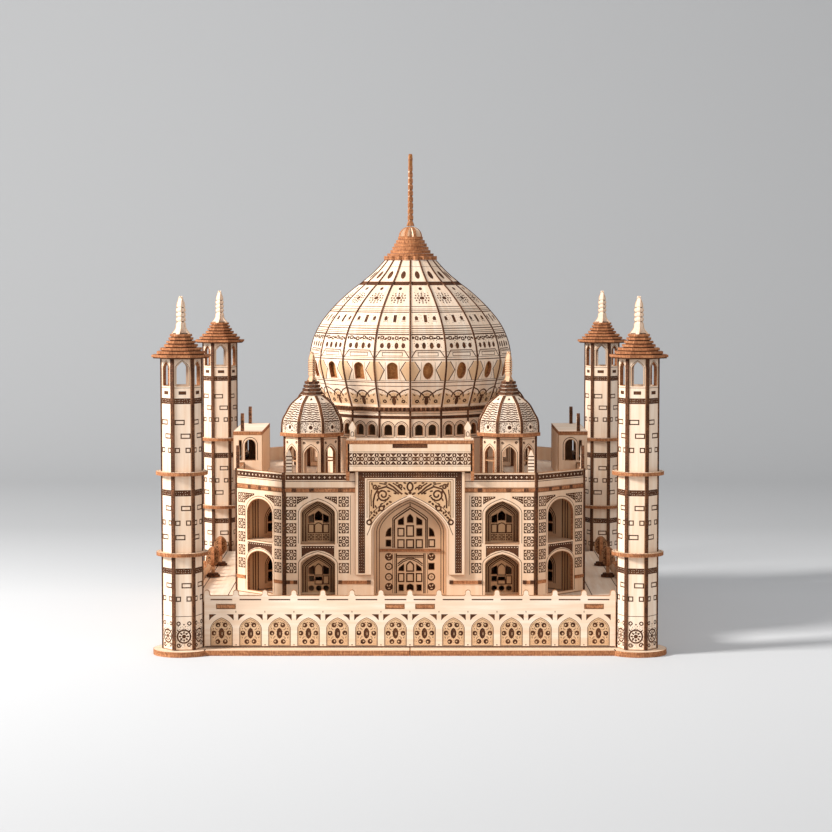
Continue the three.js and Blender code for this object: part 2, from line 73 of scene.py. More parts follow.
# ------------------------------------------------------------------ materials

FACE, EDGE, MARK, SCORCHED, CHAR, TOAST_AND_SHADE, AMBER = range(7)


class Shader:
    """A small helper that adds nodes to one material."""

    def __init__(self, name):
        self.material = bpy.data.materials.new(name)
        self.material.use_nodes = True
        self.tree = self.material.node_tree
        self.surface = self.tree.nodes["Principled BSDF"]
        self.sheet = self.node("ShaderNodeAttribute", attribute_name="sheet").outputs["Vector"]
        self.tone = self.node("ShaderNodeAttribute", attribute_name="tone").outputs["Fac"]

    def node(self, kind, **settings):
        node = self.tree.nodes.new(kind)
        for key, value in settings.items():
            setattr(node, key, value)
        return node

    def link(self, source, target):
        self.tree.links.new(source, target)
        return target

    def scaled(self, x, y, z):
        """The sheet's own coordinates, stretched."""
        mapping = self.node("ShaderNodeMapping")
        mapping.inputs["Scale"].default_value = (x, y, z)
        self.link(self.sheet, mapping.inputs["Vector"])
        return mapping.outputs["Vector"]

    def noise(self, vector, scale, detail, roughness):
        noise = self.node("ShaderNodeTexNoise")
        noise.inputs["Scale"].default_value = scale
        noise.inputs["Detail"].default_value = detail
        noise.inputs["Roughness"].default_value = roughness
        self.link(vector, noise.inputs["Vector"])
        return noise.outputs["Fac"]

    def ramp(self, factor, stops):
        ramp = self.node("ShaderNodeValToRGB")
        elements = ramp.color_ramp.elements
        while len(elements) < len(stops):
            elements.new(0.5)
        for element, (position, colour) in zip(elements, stops):
            element.position = position
            element.color = (*colour, 1.0)
        self.link(factor, ramp.inputs["Fac"])
        return ramp.outputs["Color"]

    def mix(self, factor, a, b):
        mix = self.node("ShaderNodeMix", data_type="RGBA")
        if isinstance(factor, float):
            mix.inputs[0].default_value = factor
        else:
            self.link(factor, mix.inputs[0])
        for socket, value in ((mix.inputs[6], a), (mix.inputs[7], b)):
            if isinstance(value, tuple):
                socket.default_value = (*value, 1.0)
            else:
                self.link(value, socket)
        return mix.outputs[2]

    def math(self, operation, a, b):
        node = self.node("ShaderNodeMath", operation=operation)
        for socket, value in zip(node.inputs, (a, b)):
            if isinstance(value, float):
                socket.default_value = value
            else:
                self.link(value, socket)
        return node.outputs[0]

    def finish(self, colour, roughness, height, strength):
        """Connect the colour, a roughness range that follows the height, and a bump."""
        self.link(colour, self.surface.inputs["Base Color"])
        spread = self.node("ShaderNodeMapRange")
        spread.inputs["To Min"].default_value = roughness - 0.07
        spread.inputs["To Max"].default_value = roughness + 0.07
        self.link(height, spread.inputs["Value"])
        self.link(spread.outputs["Result"], self.surface.inputs["Roughness"])
        bump = self.node("ShaderNodeBump")
        bump.inputs["Strength"].default_value = strength
        bump.inputs["Distance"].default_value = 0.1 * MM
        self.link(height, bump.inputs["Height"])
        self.link(bump.outputs["Normal"], self.surface.inputs["Normal"])
        self.surface.inputs["Specular IOR Level"].default_value = 0.25
        return self.material


def wood_face(name, warm, pale, fleck, grain=1.0):
    """Raw basswood: long soft grain, fine fibres and small pores. A sheet's tone goes from warm to pale, and
    the warm tones given to the hall's set-back parts are painted shade.
    """
    shader = Shader(name)
    broad = shader.noise(shader.scaled(0.35, 0.018, 0.35), 1.0, 5.0, 0.55)
    fibre = shader.noise(shader.scaled(3.2, 0.10, 3.2), 1.0, 6.0, 0.7)
    blotch = shader.noise(shader.scaled(0.07, 0.035, 0.07), 1.0, 3.0, 0.5)
    pores = shader.noise(shader.scaled(1.6, 0.5, 1.6), 1.0, 4.0, 0.8)
    toned = shader.mix(shader.tone, warm, pale)
    deep = shader.mix(0.55, toned, warm)
    colour = shader.mix(shader.ramp(broad, [(0.35, (0, 0, 0)), (0.68, (grain,) * 3)]), toned, deep)
    streak = shader.ramp(fibre, [(0.57, (0, 0, 0)), (0.80, (0.5 * grain,) * 3)])
    colour = shader.mix(streak, colour, fleck)
    colour = shader.mix(shader.ramp(pores, [(0.60, (0, 0, 0)), (0.78, (0.35,) * 3)]), colour, fleck)
    colour = shader.mix(shader.ramp(blotch, [(0.42, (0, 0, 0)), (0.70, (0.6,) * 3)]), colour, deep)
    height = shader.math("ADD", fibre, shader.math("MULTIPLY", broad, 0.6))
    return shader.finish(colour, 0.68, height, 0.35)


def burnt(name, dark, middle, light, scale, roughness=0.8):
    """Laser-burnt wood: soot and amber in fine streaks across the thickness of the sheet."""
    shader = Shader(name)
    streak = shader.noise(shader.scaled(1.1, 1.1, 0.35), scale, 5.0, 0.7)
    layer = shader.noise(shader.scaled(0.10, 0.10, 2.1), 1.0, 3.0, 0.6)
    value = shader.math("ADD", shader.math("MULTIPLY", streak, 0.65), shader.math("MULTIPLY", layer, 0.35))
    colour = shader.ramp(value, [(0.36, dark), (0.5, middle), (0.63, light)])
    return shader.finish(colour, roughness, value, 0.5)


WOOD = wood_face("basswood_face", (0.665, 0.412, 0.236), (0.872, 0.742, 0.622), (0.490, 0.280, 0.140))
CUT_EDGE = burnt("cut_edge", (0.130, 0.042, 0.016), (0.330, 0.128, 0.052), (0.560, 0.262, 0.120), 1.4)
ENGRAVED = burnt("engraved", (0.028, 0.009, 0.004), (0.072, 0.024, 0.009), (0.190, 0.074, 0.028), 2.2, 0.85)
BROWNED = wood_face("browned_border", (0.350, 0.175, 0.085), (0.520, 0.320, 0.180), (0.220, 0.100, 0.045))
CHARRED = burnt("charred_rib", (0.022, 0.008, 0.004), (0.080, 0.029, 0.012), (0.220, 0.085, 0.034),
                1.2, 0.85)
PANEL = wood_face("toast_and_shade_panel", (0.520, 0.298, 0.150), (0.700, 0.480, 0.300), (0.300, 0.150, 0.070), 1.3)
WARM_BOARD = burnt("amber_board", (0.200, 0.072, 0.022), (0.360, 0.150, 0.046), (0.480, 0.225, 0.080), 0.6)
SKINS = [WOOD, CUT_EDGE, ENGRAVED, BROWNED, CHARRED, PANEL, WARM_BOARD]


# ------------------------------------------------------------------ outlines

def rect(left, right, bottom, top):
    return [(left, bottom), (right, bottom), (right, top), (left, top)]


def middle_rect(cx, cy, width, height):
    return rect(cx - width / 2, cx + width / 2, cy - height / 2, cy + height / 2)


def turned(x, y, angle, centre=(0.0, 0.0)):
    """A point turned about the origin and then moved to a centre."""
    c, s = math.cos(angle), math.sin(angle)
    return centre[0] + c * x - s * y, centre[1] + s * x + c * y


def on_circle(cx, cy, radius, angle):
    return cx + radius * math.cos(angle), cy + radius * math.sin(angle)


def ellipse(cx, cy, rx, ry, steps):
    angles = [TAU * i / steps for i in range(steps)]
    return [(cx + rx * math.cos(a), cy + ry * math.sin(a)) for a in angles]


def circle(cx, cy, radius, steps=14, start=0.0):
    return [on_circle(cx, cy, radius, start + TAU * i / steps) for i in range(steps)]


def petal(cx, cy, length, width, turn, steps=5):
    """A leaf with two pointed ends, centred on (cx, cy) and pointing along turn."""
    side = [(-math.cos(math.pi * i / steps), math.sin(math.pi * i / steps)) for i in range(steps)]
    loop = [(x * length / 2, -y * width / 2) for x, y in side]
    loop += [(-x * length / 2, y * width / 2) for x, y in side]
    return [turned(x, y, turn, (cx, cy)) for x, y in loop]


def mirrored(loops):
    """Loops with their left and right exchanged."""
    return [[(-x, z) for x, z in loop] for loop in loops]


def left_to_right(a, b):
    """The two ends of a span, the smaller one first."""
    return min(a, b), max(a, b)


def arch(cx, half, sill, spring, crown, sharp=0.35, steps=9):
    """Straight jambs under a head that is round at sharp = 0 and pointed above that."""
    rise = crown - spring
    head = []
    for i in range(steps + 1):
        a = QUARTER * i / steps
        height = (1 - sharp) * math.sin(a) + sharp * (1 - math.cos(a))
        head.append((half * math.cos(a), spring + rise * height))
    left = [(cx - x, y) for x, y in reversed(head[:-1])]
    return [(cx - half, sill), (cx + half, sill), *[(cx + x, y) for x, y in head], *left]


def arch_line(cx, half, sill, spring, crown, sharp=0.35, steps=9):
    """The same arch as an open line from one foot over the crown to the other."""
    loop = arch(cx, half, sill, spring, crown, sharp, steps)
    return [*loop[1:], loop[0]]


def unit_normals(points, closed):
    """The outward direction at each point, lengthened at corners so that a moved line keeps its width."""
    count = len(points)
    normals = []
    for i in range(count):
        before = points[i - 1] if (closed or i) else points[i]
        after = points[(i + 1) % count] if (closed or i < count - 1) else points[i]
        here = points[i]
        total = [0.0, 0.0]
        for a, b in ((before, here), (here, after)):
            length = math.hypot(b[0] - a[0], b[1] - a[1])
            if length > 1e-9:
                total[0] += (b[1] - a[1]) / length
                total[1] -= (b[0] - a[0]) / length
        size = math.hypot(*total) or 1.0
        mitre = min(2.0, 2.0 / size) if size > 0.2 and (closed or 0 < i < count - 1) else 1.0
        normals.append((total[0] / size * mitre, total[1] / size * mitre))
    return normals


def grown(loop, distance):
    """A counter-clockwise loop moved outwards by a distance."""
    normals = unit_normals(loop, True)
    return [(x + nx * distance, y + ny * distance) for (x, y), (nx, ny) in zip(loop, normals)]


def line(points, width):
    """An engraved line along an open run of points."""
    moved = list(zip(points, unit_normals(points, False)))
    half = width * BURN / 2
    right = [(x + nx * half, y + ny * half) for (x, y), (nx, ny) in moved]
    left = [(x - nx * half, y - ny * half) for (x, y), (nx, ny) in moved]
    return [right + left[::-1]]


def border(loop, width):
    """An engraved line along a closed loop."""
    loop = counter_clockwise(loop)
    half = width * BURN / 2
    return [grown(loop, half), grown(loop, -half)]


def solid(loop):
    """An engraved patch."""
    return [loop]


def counter_clockwise(loop):
    area = sum(a[0] * b[1] - b[0] * a[1] for a, b in zip(loop, [*loop[1:], loop[0]]))
    return loop if area > 0 else loop[::-1]


# ------------------------------------------------------------------ where a sheet goes

def standing(face, angle=0.0, centre=(0.0, 0.0)):
    """Upright, its face at a distance from the centre. At angle 0 it faces -Y."""
    def place(u, v, w):
        return (*turned(u, -face + w, angle, centre), v)
    return place


def lying(top):
    """Flat, its face up at a height."""
    def place(u, v, w):
        return (u, v, top - w)
    return place


def across(at, thickness=PLY, angle=0.0):
    """Upright and edge on to the front, centred on x = at. Its u runs along Y."""
    def place(u, v, w):
        return (*turned(at + thickness / 2 - w, u, angle), v)
    return place


def facing_left(face):
    """Upright and edge on to the front, its face towards -X. Its u runs along Y, from back to front."""
    def place(u, v, w):
        return (face + w, -u, v)
    return place


# ------------------------------------------------------------------ pieces

class Piece:
    """The sheets of one piece, gathered into one mesh."""

    def __init__(self, seed, tones=(0.5, 0.9)):
        self.random = random.Random(seed)
        self.tone_range = tones
        self.points, self.faces, self.skins = [], [], []
        self.sheet, self.tones = [], []

    def add(self, place, outline, holes=(), marks=(), thickness=PLY, rows=(), face=FACE, edge=EDGE,
            scorch=SCORCH, level_grain=False, tone=None, tints=()):
        """Cut one sheet. A mark is a loop followed by the loops of any islands left standing in it.

        A tint is an area that the laser has only toasted, and in the corner niches it is painted shade. Rows
        are lines on which the sheet may bend.
        """
        holes = [counter_clockwise(hole) for hole in holes]
        outline = counter_clockwise(outline)
        browned = scorch and face == FACE
        bands = [grown(hole, scorch) for hole in holes] if browned else []
        inset = [grown(outline, -scorch)] if browned else []
        loops = [outline, *holes, *bands, *inset]
        first_band = 1 + len(holes)
        first_inset = first_band + len(bands)
        tinted = range(len(loops), len(loops) + len(tints))
        loops.extend(counter_clockwise(loop) for loop in tints)
        groups = {}
        for mark_loops in marks:
            outer = len(loops)
            loops.extend(counter_clockwise(loop) for loop in mark_loops)
            groups[outer] = range(outer + 1, len(loops))
        corners, loop_faces = [], []
        for loop in loops:
            loop_faces.append(list(range(len(corners), len(corners) + len(loop))))
            corners.extend(Vector(p) for p in loop)
        edges = []
        for row in rows:
            edges.append((len(corners), len(corners) + 1))
            corners.extend(Vector(p) for p in row)
        flat, _, triangles, _, _, origins = delaunay_2d_cdt(corners, edges, loop_faces, 1, 1e-4, True)

        levels, skins = [], []
        for origin in origins:
            inside = set(origin)
            if 0 not in inside or any(1 <= f < first_band for f in inside):
                levels.append(None)
                skins.append(face)
                continue
            engraved = any(f in groups and inside.isdisjoint(groups[f]) for f in inside)
            near_cut = any(first_band <= f < first_inset for f in inside)
            near_cut = near_cut or (inset and first_inset not in inside)
            levels.append(ENGRAVING if engraved else 0.0)
            # tinted areas are laser toast on most sheets and painted shade on the niche side walls
            toasted = not inside.isdisjoint(tinted)
            skins.append(MARK if engraved else SCORCHED if near_cut else TOAST_AND_SHADE if toasted else face)
        self.extrude(place, flat, triangles, levels, skins, thickness, edge, level_grain, tone)

    def extrude(self, place, flat, triangles, levels, skins, thickness, edge, level_grain, tone):
        """Give the cut sheet its thickness, its recesses and the walls of both."""
        offset = [self.random.uniform(0, 400) for _ in range(2)]
        tone = self.random.uniform(*self.tone_range) if tone is None else tone
        known = {}
        at_vertex = {}
        owner = {}
        for index, triangle in enumerate(triangles):
            if levels[index] is None:
                continue
            for k in range(3):
                owner[(triangle[k], triangle[(k + 1) % 3])] = index
                at_vertex.setdefault(triangle[k], set()).add(levels[index])

        def vertex(i, w):
            key = (i, w)
            if key not in known:
                u, v = flat[i]
                known[key] = len(self.points)
                self.points.append(place(u, v, w))
                grain = (v, u) if level_grain else (u, v)
                self.sheet.append((grain[0] + offset[0], grain[1] + offset[1], w))
                self.tones.append(tone)
            return known[key]

        def wall(a, b, top, bottom, skin):
            side_a = sorted(w for w in at_vertex[a] if top < w < bottom)
            side_b = sorted((w for w in at_vertex[b] if top < w < bottom), reverse=True)
            ring = [vertex(a, w) for w in (top, *side_a, bottom)]
            ring += [vertex(b, w) for w in (bottom, *side_b, top)]
            self.faces.append(ring)
            self.skins.append(skin)

        for index, triangle in enumerate(triangles):
            if levels[index] is None:
                continue
            self.faces.append([vertex(i, levels[index]) for i in triangle])
            self.skins.append(skins[index])
            self.faces.append([vertex(i, thickness) for i in reversed(triangle)])
            self.skins.append(skins[index] if skins[index] in (EDGE, CHAR, AMBER) else FACE)
            for k in range(3):
                a, b = triangle[k], triangle[(k + 1) % 3]
                other = owner.get((b, a))
                if other is None:
                    wall(a, b, levels[index], thickness, edge)
                elif levels[other] > levels[index]:
                    wall(a, b, levels[index], levels[other], MARK)

    def build(self, name, node, slot, angle=0.0, centre=(0.0, 0.0), smooth=False):
        """Make the mesh in metres, turned about Z and moved, and let it stand for its CAD node."""
        mesh = bpy.data.meshes.new(name)
        placed = [(*turned(x, y, angle, centre), z) for x, y, z in self.points]
        mesh.from_pydata([(x * MM, y * MM, z * MM) for x, y, z in placed], [], self.faces)
        mesh.polygons.foreach_set("material_index", self.skins)
        mesh.attributes.new("sheet", "FLOAT_VECTOR", "POINT").data.foreach_set(
            "vector", [c for p in self.sheet for c in p])
        mesh.attributes.new("tone", "FLOAT", "POINT").data.foreach_set("value", self.tones)
        for skin in SKINS:
            mesh.materials.append(skin)
        if smooth:
            mesh.polygons.foreach_set("use_smooth", [True] * len(mesh.polygons))
            mesh.set_sharp_from_angle(angle=math.radians(25))
        mesh.update()
        piece = bpy.data.objects.new(name, mesh)
        bpy.context.scene.collection.objects.link(piece)
        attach(piece, "root")
        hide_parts(node)
        return piece


# ------------------------------------------------------------------ engraved motifs

def level_line(left, right, height, width):
    half = width * BURN / 2
    return solid(rect(left, right, height - half, height + half))


def upright_line(at, bottom, top, width):
    half = width * BURN / 2
    return solid(rect(at - half, at + half, bottom, top))


def ring(cx, cy, radius, width, steps=12):
    return border(circle(cx, cy, radius, steps), width)


def swirl(cx, cy, radius, turns, start, hand, width, steps):
    """A scroll that winds inwards."""
    points = []
    for i in range(steps + 1):
        t = i / steps
        a = start + hand * TAU * turns * t
        r = radius * (1 - 0.8 * t)
        points.append((cx + r * math.cos(a), cy + r * math.sin(a)))
    return line(points, width)


def flower(cx, cy, radius, petals, heart=0.28):
    """A ringed rosette."""
    marks = [solid(circle(cx, cy, radius * heart, 8))]
    for i in range(petals):
        a = TAU * i / petals + QUARTER
        marks.append(solid(petal(*on_circle(cx, cy, radius * 0.62, a), radius * 0.5, radius * 0.3, a, 3)))
    return marks


def brick(left, right, bottom, top):
    return border(rect(left + LINE / 2, right - LINE / 2, bottom, top), 0.5)


def wavy_line(left, right, height, swing, waves, width):
    points = []
    count = waves * 6
    for i in range(count + 1):
        t = i / count
        points.append((left + (right - left) * t, height + swing * math.sin(TAU * waves * t)))
    return line(points, width)


def speckle(source, left, right, bottom, top, count, size):
    """Small burnt flecks scattered over a field, spread out by a jittered grid."""
    columns = max(1, round(math.sqrt(count * (right - left) / (top - bottom))))
    rows = max(1, round(count / columns))
    marks = []
    for i in range(columns):
        for j in range(rows):
            x = left + (right - left) * (i + source.uniform(0.25, 0.75)) / columns
            y = bottom + (top - bottom) * (j + source.uniform(0.25, 0.75)) / rows
            marks.append(solid(circle(x, y, size * source.uniform(0.6, 1.2), 5, source.uniform(0, 1))))
    return marks


# ------------------------------------------------------------------ base, deck and terrace walls

BASE_LOW, BASE_HIGH = box("base_right")
TOWER_AT = sum(corner[0] for corner in box("tower_shaft_front_right")) / 2
LOBE_RADIUS = BASE_HIGH[0] - TOWER_AT
BASE_HALF = TOWER_AT + 10.0
DECK_TOP = box("terrace_deck")[1][2]
DECK_REACH = box("terrace_deck")[1][0]
PLINTH_FACE = -box("terrace_wall_front")[0][1]
WALL_FOOT = box("terrace_wall_front")[0][2]
POST_TOP = box("terrace_wall_front")[1][2]
RAIL_TOP = POST_TOP - 3.2
SHAFT_RADIUS = box("tower_shaft_front_right")[1][0] - TOWER_AT
SHAFT_TOP = box("tower_shaft_front_right")[1][2]
TOE_IN = math.pi / 20  # the front flat of each shaft turns this much towards the middle
SHAFT_HALF = SHAFT_RADIUS * math.cos(math.pi / 6)
BAYS = 14
BAY_PITCH = 16.35
POST_WIDTH = 3.2
TAB_WIDTH = 10.1
TAB_CENTRES = (-103.7, -8.5, 8.5, 103.7)
CLEARANCE = 0.3


def base_half():
    """One half of the base sheet, with a round lobe under each of its towers."""
    reach = math.acos((TOWER_AT - BASE_HALF) / LOBE_RADIUS)
    steps = 24
    lobe = []
    for i in range(steps + 1):
        a = -QUARTER - (math.pi - reach) + (QUARTER + 2 * (math.pi - reach)) * i / steps
        lobe.append((TOWER_AT + LOBE_RADIUS * math.cos(a), -TOWER_AT + LOBE_RADIUS * math.sin(a)))
    upper = [(x, -y) for x, y in reversed(lobe)]
    outline = [(BASE_LOW[0], -BASE_HALF), *lobe, *upper, (BASE_LOW[0], BASE_HALF)]
    piece = Piece(seed=3)
    seam = TOWER_AT - 13.0
    seams = [upright_line(seam, side * BASE_HALF - 5, side * BASE_HALF + 5, 0.5) for side in (-1, 1)]
    piece.add(lying(BASE_HIGH[2]), outline, marks=seams, thickness=BASE_HIGH[2], level_grain=True)
    return piece


def deck():
    """The terrace floor, with a notch for each tower and tabs that pass through the walls."""
    edge = PLINTH_FACE - PLY - CLEARANCE
    notch = TOWER_AT - SHAFT_RADIUS - CLEARANCE
    outline = []
    for angle in SIDES.values():
        side = [(-notch, -edge)]
        for x in TAB_CENTRES:
            side += [(x - TAB_WIDTH / 2, -edge), (x - TAB_WIDTH / 2, -DECK_REACH)]
            side += [(x + TAB_WIDTH / 2, -DECK_REACH), (x + TAB_WIDTH / 2, -edge)]
        side += [(notch, -edge), (notch, -notch)]
        outline += [turned(x, y, angle) for x, y in side]
    marks = []
    for half in (edge - 3, 105.5):
        marks.append(border(middle_rect(0, 0, 2 * half, 2 * half), 0.4))
    for angle in SIDES.values():
        for apart in (0.0, 3.2):
            run = [turned(x, y, angle) for x, y in ((106.2 - apart, -106.2), (121 - apart, -121))]
            marks.append(line(run, 0.5))
    piece = Piece(seed=4, tones=(0.85, 0.95))
    piece.add(lying(DECK_TOP), outline, marks=marks)
    return piece


def posted_edge():
    """The top edge of a terrace wall, right to left: a rail with a round-headed post at every bay line."""
    half = POST_WIDTH / 2
    edge = []
    for i in range(BAYS, -1, -1):
        centre = (i - BAYS / 2) * BAY_PITCH
        edge.append((centre + half + 0.5, RAIL_TOP))
        edge.append((centre + half, RAIL_TOP + 0.6))
        for step in range(7):
            a = math.pi * step / 6
            edge.append((centre + half * math.cos(a), POST_TOP - half + half * math.sin(a)))
        edge.append((centre - half, RAIL_TOP + 0.6))
        edge.append((centre - half - 0.5, RAIL_TOP))
    return edge


BAY_ARCH = (6.2, WALL_FOOT + 0.9, 13.6, 20.0, 0.3, 9)  # half width, sill, spring, crown, sharpness, steps


def terrace_bay(centre, source):
    """The engraving of one bay: an arch round a pointed oval and six rings, and dark corners above it."""
    marks = [border(arch(centre, *BAY_ARCH), 0.24)]
    marks.append(line(arch_line(centre, 5.5, WALL_FOOT + 1.2, 13.4, 19.0, 0.3, 8), 0.14))
    marks.append([petal(centre, 11.2, 6.2, 3.3, QUARTER), petal(centre + 0.3, 10.9, 2.0, 0.45, QUARTER, 3)])
    for side in (-1, 1):
        for x, z, turn in ((2.6, 13.3, 0.8), (2.6, 9.1, -0.8), (0.7, 17.3, 0.3), (4.7, 8.9, 0.9),
                           (4.5, 13.8, -0.9)):
            marks.append(solid(petal(centre + side * x, z, 1.0, 0.45, side * turn, 3)))
    for x, z in ((1.95, 15.9), (4.2, 11.3), (2.05, 6.5)):
        for side in (-1, 1):
            at = (centre + side * x + source.uniform(-0.1, 0.1), z + source.uniform(-0.1, 0.1))
            start = source.uniform(0, TAU)
            core = circle(at[0] + 0.4 * math.cos(start), at[1] + 0.4 * math.sin(start), 0.5, 7)
            marks.append([circle(*at, 1.42, 11), core])
    for side in (-1, 1):
        corner = [(centre + side * 2.9, 22.0), (centre + side * 6.9, 22.0), (centre + side * 6.9, 18.5),
                  (centre + side * 5.4, 20.2)]
        marks.append(solid(corner))
        marks.append(upright_line(centre + side * 3.3, 13.4, 14.4, 0.2))
        marks.append(upright_line(centre + side * 3.3, 8.0, 8.9, 0.2))
    marks.append(level_line(centre - 6.1, centre + 6.1, 30.3, 0.55))
    marks += speckle(source, centre - 5.2, centre + 5.2, 4.8, 17.0, 60, 0.19)
    return marks


def terrace_wall(end):
    outline = [(-end, WALL_FOOT), (end, WALL_FOOT), (end, RAIL_TOP), *posted_edge(), (-end, RAIL_TOP)]
    half = TAB_WIDTH / 2 + CLEARANCE
    low, high = DECK_TOP - PLY - CLEARANCE, DECK_TOP + CLEARANCE
    slots = [rect(x - half, x + half, low, high) for x in TAB_CENTRES]
    piece = Piece(seed=5, tones=(0.85, 0.95))
    marks = []
    panels = []
    for i in range(BAYS):
        centre = (i - (BAYS - 1) / 2) * BAY_PITCH
        marks += terrace_bay(centre, piece.random)
        panels.append(arch(centre, *BAY_ARCH))
    for i in range(1, BAYS):
        centre = (i - BAYS / 2) * BAY_PITCH
        marks.append(solid(petal(centre, 23.4, 1.3, 0.5, QUARTER, 3)))
        marks.append(solid(circle(centre, WALL_FOOT + 1.3, 0.4, 6)))
    marks.append(level_line(-end + 0.5, end - 0.5, WALL_FOOT + 0.35, 0.4))
    piece.add(standing(PLINTH_FACE), outline, slots, marks, level_grain=True, tints=panels)
    return piece


# ------------------------------------------------------------------ corner towers

def tower_strip_marks(half, source):
    """The engraving of one strip of a tower, from its foot up."""
    marks = []
    for bottom, top in ((45.9, 49.2), (89.7, 93.1), (141.2, 144.4)):
        flecks = []
        for column in range(7):
            for row in range(2):
                x = -half + 2 * half * (column + 0.5) / 7 + source.uniform(-0.3, 0.3)
                z = bottom + (top - bottom) * (0.3 + 0.4 * row) + source.uniform(-0.3, 0.3)
                flecks.append(circle(x, z, 0.2, 4, source.uniform(0, 1)))
        marks.append([rect(-half, half, bottom, top), *flecks])
    wide, tall = 5.4, 2.3
    for height, side in ((131.0, -1), (123.3, 1), (82.9, 1), (66.6, -1), (39.5, 1)):
        left = -half + 0.2 if side < 0 else half - wide - 0.2
        marks.append(brick(left, left + wide, height - tall / 2, height + tall / 2))
    for height in (115.4, 74.7, 32.0):
        for side in (-1, 1):
            left = -half + 0.2 if side < 0 else half - 2.9
            marks.append(brick(left, left + 2.7, height - tall / 2, height + tall / 2))
    marks.append(level_line(-half, half, 22.2, 0.25))
    for side in (-1, 1):
        marks.append(ring(side * (half - 1.5), 18.2, 0.95, 0.5, 8))
        marks.append(swirl(side * (half - 1.6), 6.0, 1.4, 1.2, 0.0, side, 0.5, 9))
        marks.append(solid(petal(side * (half - 1.2), 14.2, 1.8, 0.8, side * 0.8, 3)))
    marks.append(ring(0, 10.9, 3.7, 0.7, 14))
    marks += flower(0, 10.9, 3.5, 8, 0.34)
    for i in range(12):
        a = TAU * i / 12
        marks.append(solid(circle(4.75 * math.cos(a), 10.9 + 4.75 * math.sin(a), 0.28, 5)))
    marks.append(solid(circle(0, 17.6, 0.5, 6)))
    marks += speckle(source, -half + 0.4, half - 0.4, 4.4, 17.0, 60, 0.26)
    marks.append(solid(middle_rect(0, 147.4, 4.2, 1.9)))
    marks.append(level_line(-half, half, 150.2, 0.22))
    return marks


def tower_shaft():
    half = SHAFT_RADIUS / 2 - PLY * math.tan(math.pi / 6)
    window = arch(0, 3.2, SHAFT_TOP - 15, SHAFT_TOP - 5.3, SHAFT_TOP - 1.6, 0.5, 6)
    piece = Piece(seed=6, tones=(0.55, 0.95))
    frame_line = line(arch_line(0, 3.9, SHAFT_TOP - 15, SHAFT_TOP - 5.1, SHAFT_TOP - 0.8, 0.5, 6), 0.2)
    for i in range(6):
        angle = i * TAU / 6
        marks = tower_strip_marks(half - 0.1, piece.random)
        piece.add(standing(SHAFT_HALF, angle), rect(-half, half, WALL_FOOT, SHAFT_TOP), [window],
                  [*marks, frame_line])
        rib = standing(SHAFT_RADIUS + 0.15, angle + TAU / 12)
        piece.add(rib, rect(-RIB / 2, RIB / 2, WALL_FOOT, SHAFT_TOP), thickness=2.4, face=CHAR, edge=CHAR)
    return piece


def balcony(radius, top, seed):
    piece = Piece(seed)
    hexagon = circle(0, 0, SHAFT_RADIUS + CLEARANCE, 6)
    notches = []
    for i in range(36):
        notches.append(ring(*turned(radius - 1.4, 0, TAU * i / 36), 0.45, 0.3, 6))
    piece.add(lying(top), circle(0, 0, radius, 48), [hexagon], notches)
    return piece


def octagon(half):
    return circle(0, 0, half / math.cos(math.pi / 8), 8, math.pi / 8)


def stepped_tiers(piece, halves, foot, pitch, plate=EDGE, spacer=CHAR):
    """Stacked eight-sided plates, with a narrower one set back under each."""
    level = foot
    for half in halves:
        piece.add(lying(level + pitch), octagon(half), thickness=pitch * 0.68, face=plate, edge=plate)
        piece.add(lying(level + pitch * 0.34), octagon(half - 0.8), thickness=pitch * 0.38,
                  face=spacer, edge=spacer)
        level += pitch
    return level


def crossed_boards(piece, profile, edge, marks, angle, tone, face=FACE):
    """The same silhouette twice, crossed at right angles."""
    outline = profile + [(-x, z) for x, z in reversed(profile) if x > 0]
    for place in (standing(PLY / 2, angle), across(0, PLY, angle)):
        piece.add(place, outline, marks=marks, face=face, edge=edge, tone=tone)


def finial(piece, foot, tip, base, shaft, bulges, tone=1.0):
    """A slotted finial: a flared foot, rounded bulges one above the other, and a long point."""
    tall = tip - foot
    neck = foot + tall * 0.33
    top = foot + tall * 0.70
    profile = [(base, foot), (base * 0.90, foot + tall * 0.03), (base * 0.64, foot + tall * 0.11),
               (base * 0.5, foot + tall * 0.18), (shaft * 1.05, foot + tall * 0.28)]
    lines = []
    pitch = (top - neck) / bulges
    for i in range(bulges):
        low = neck + pitch * i
        profile.append((shaft * 0.78, low))
        for step in (0.22, 0.5, 0.78):
            profile.append((shaft * (1.08 if step == 0.5 else 1.0), low + pitch * step))
        lines.append(level_line(-shaft * 0.72, shaft * 0.72, low, 0.35))
    profile += [(shaft * 0.8, top), (shaft * 0.95, top + tall * 0.04), (shaft * 0.78, top + tall * 0.13),
                (shaft * 0.42, top + tall * 0.23), (0, tip)]
    lines.append(level_line(-shaft * 0.72, shaft * 0.72, top, 0.35))
    lines.append(level_line(-base * 0.8, base * 0.8, foot + 0.5, 0.3))
    crossed_boards(piece, profile, FACE, lines, math.radians(-14), tone)


def tower_roof():
    low, high = box("tower_roof_front_right")
    piece = Piece(seed=8)
    halves = (15.9, 13.1, 11.3, 9.1, 7.9, 6.7, 6.0)
    level = stepped_tiers(piece, halves, low[2], 1.9)
    finial(piece, level - 0.1, high[2], 5.6, 2.5, 3)
    return piece


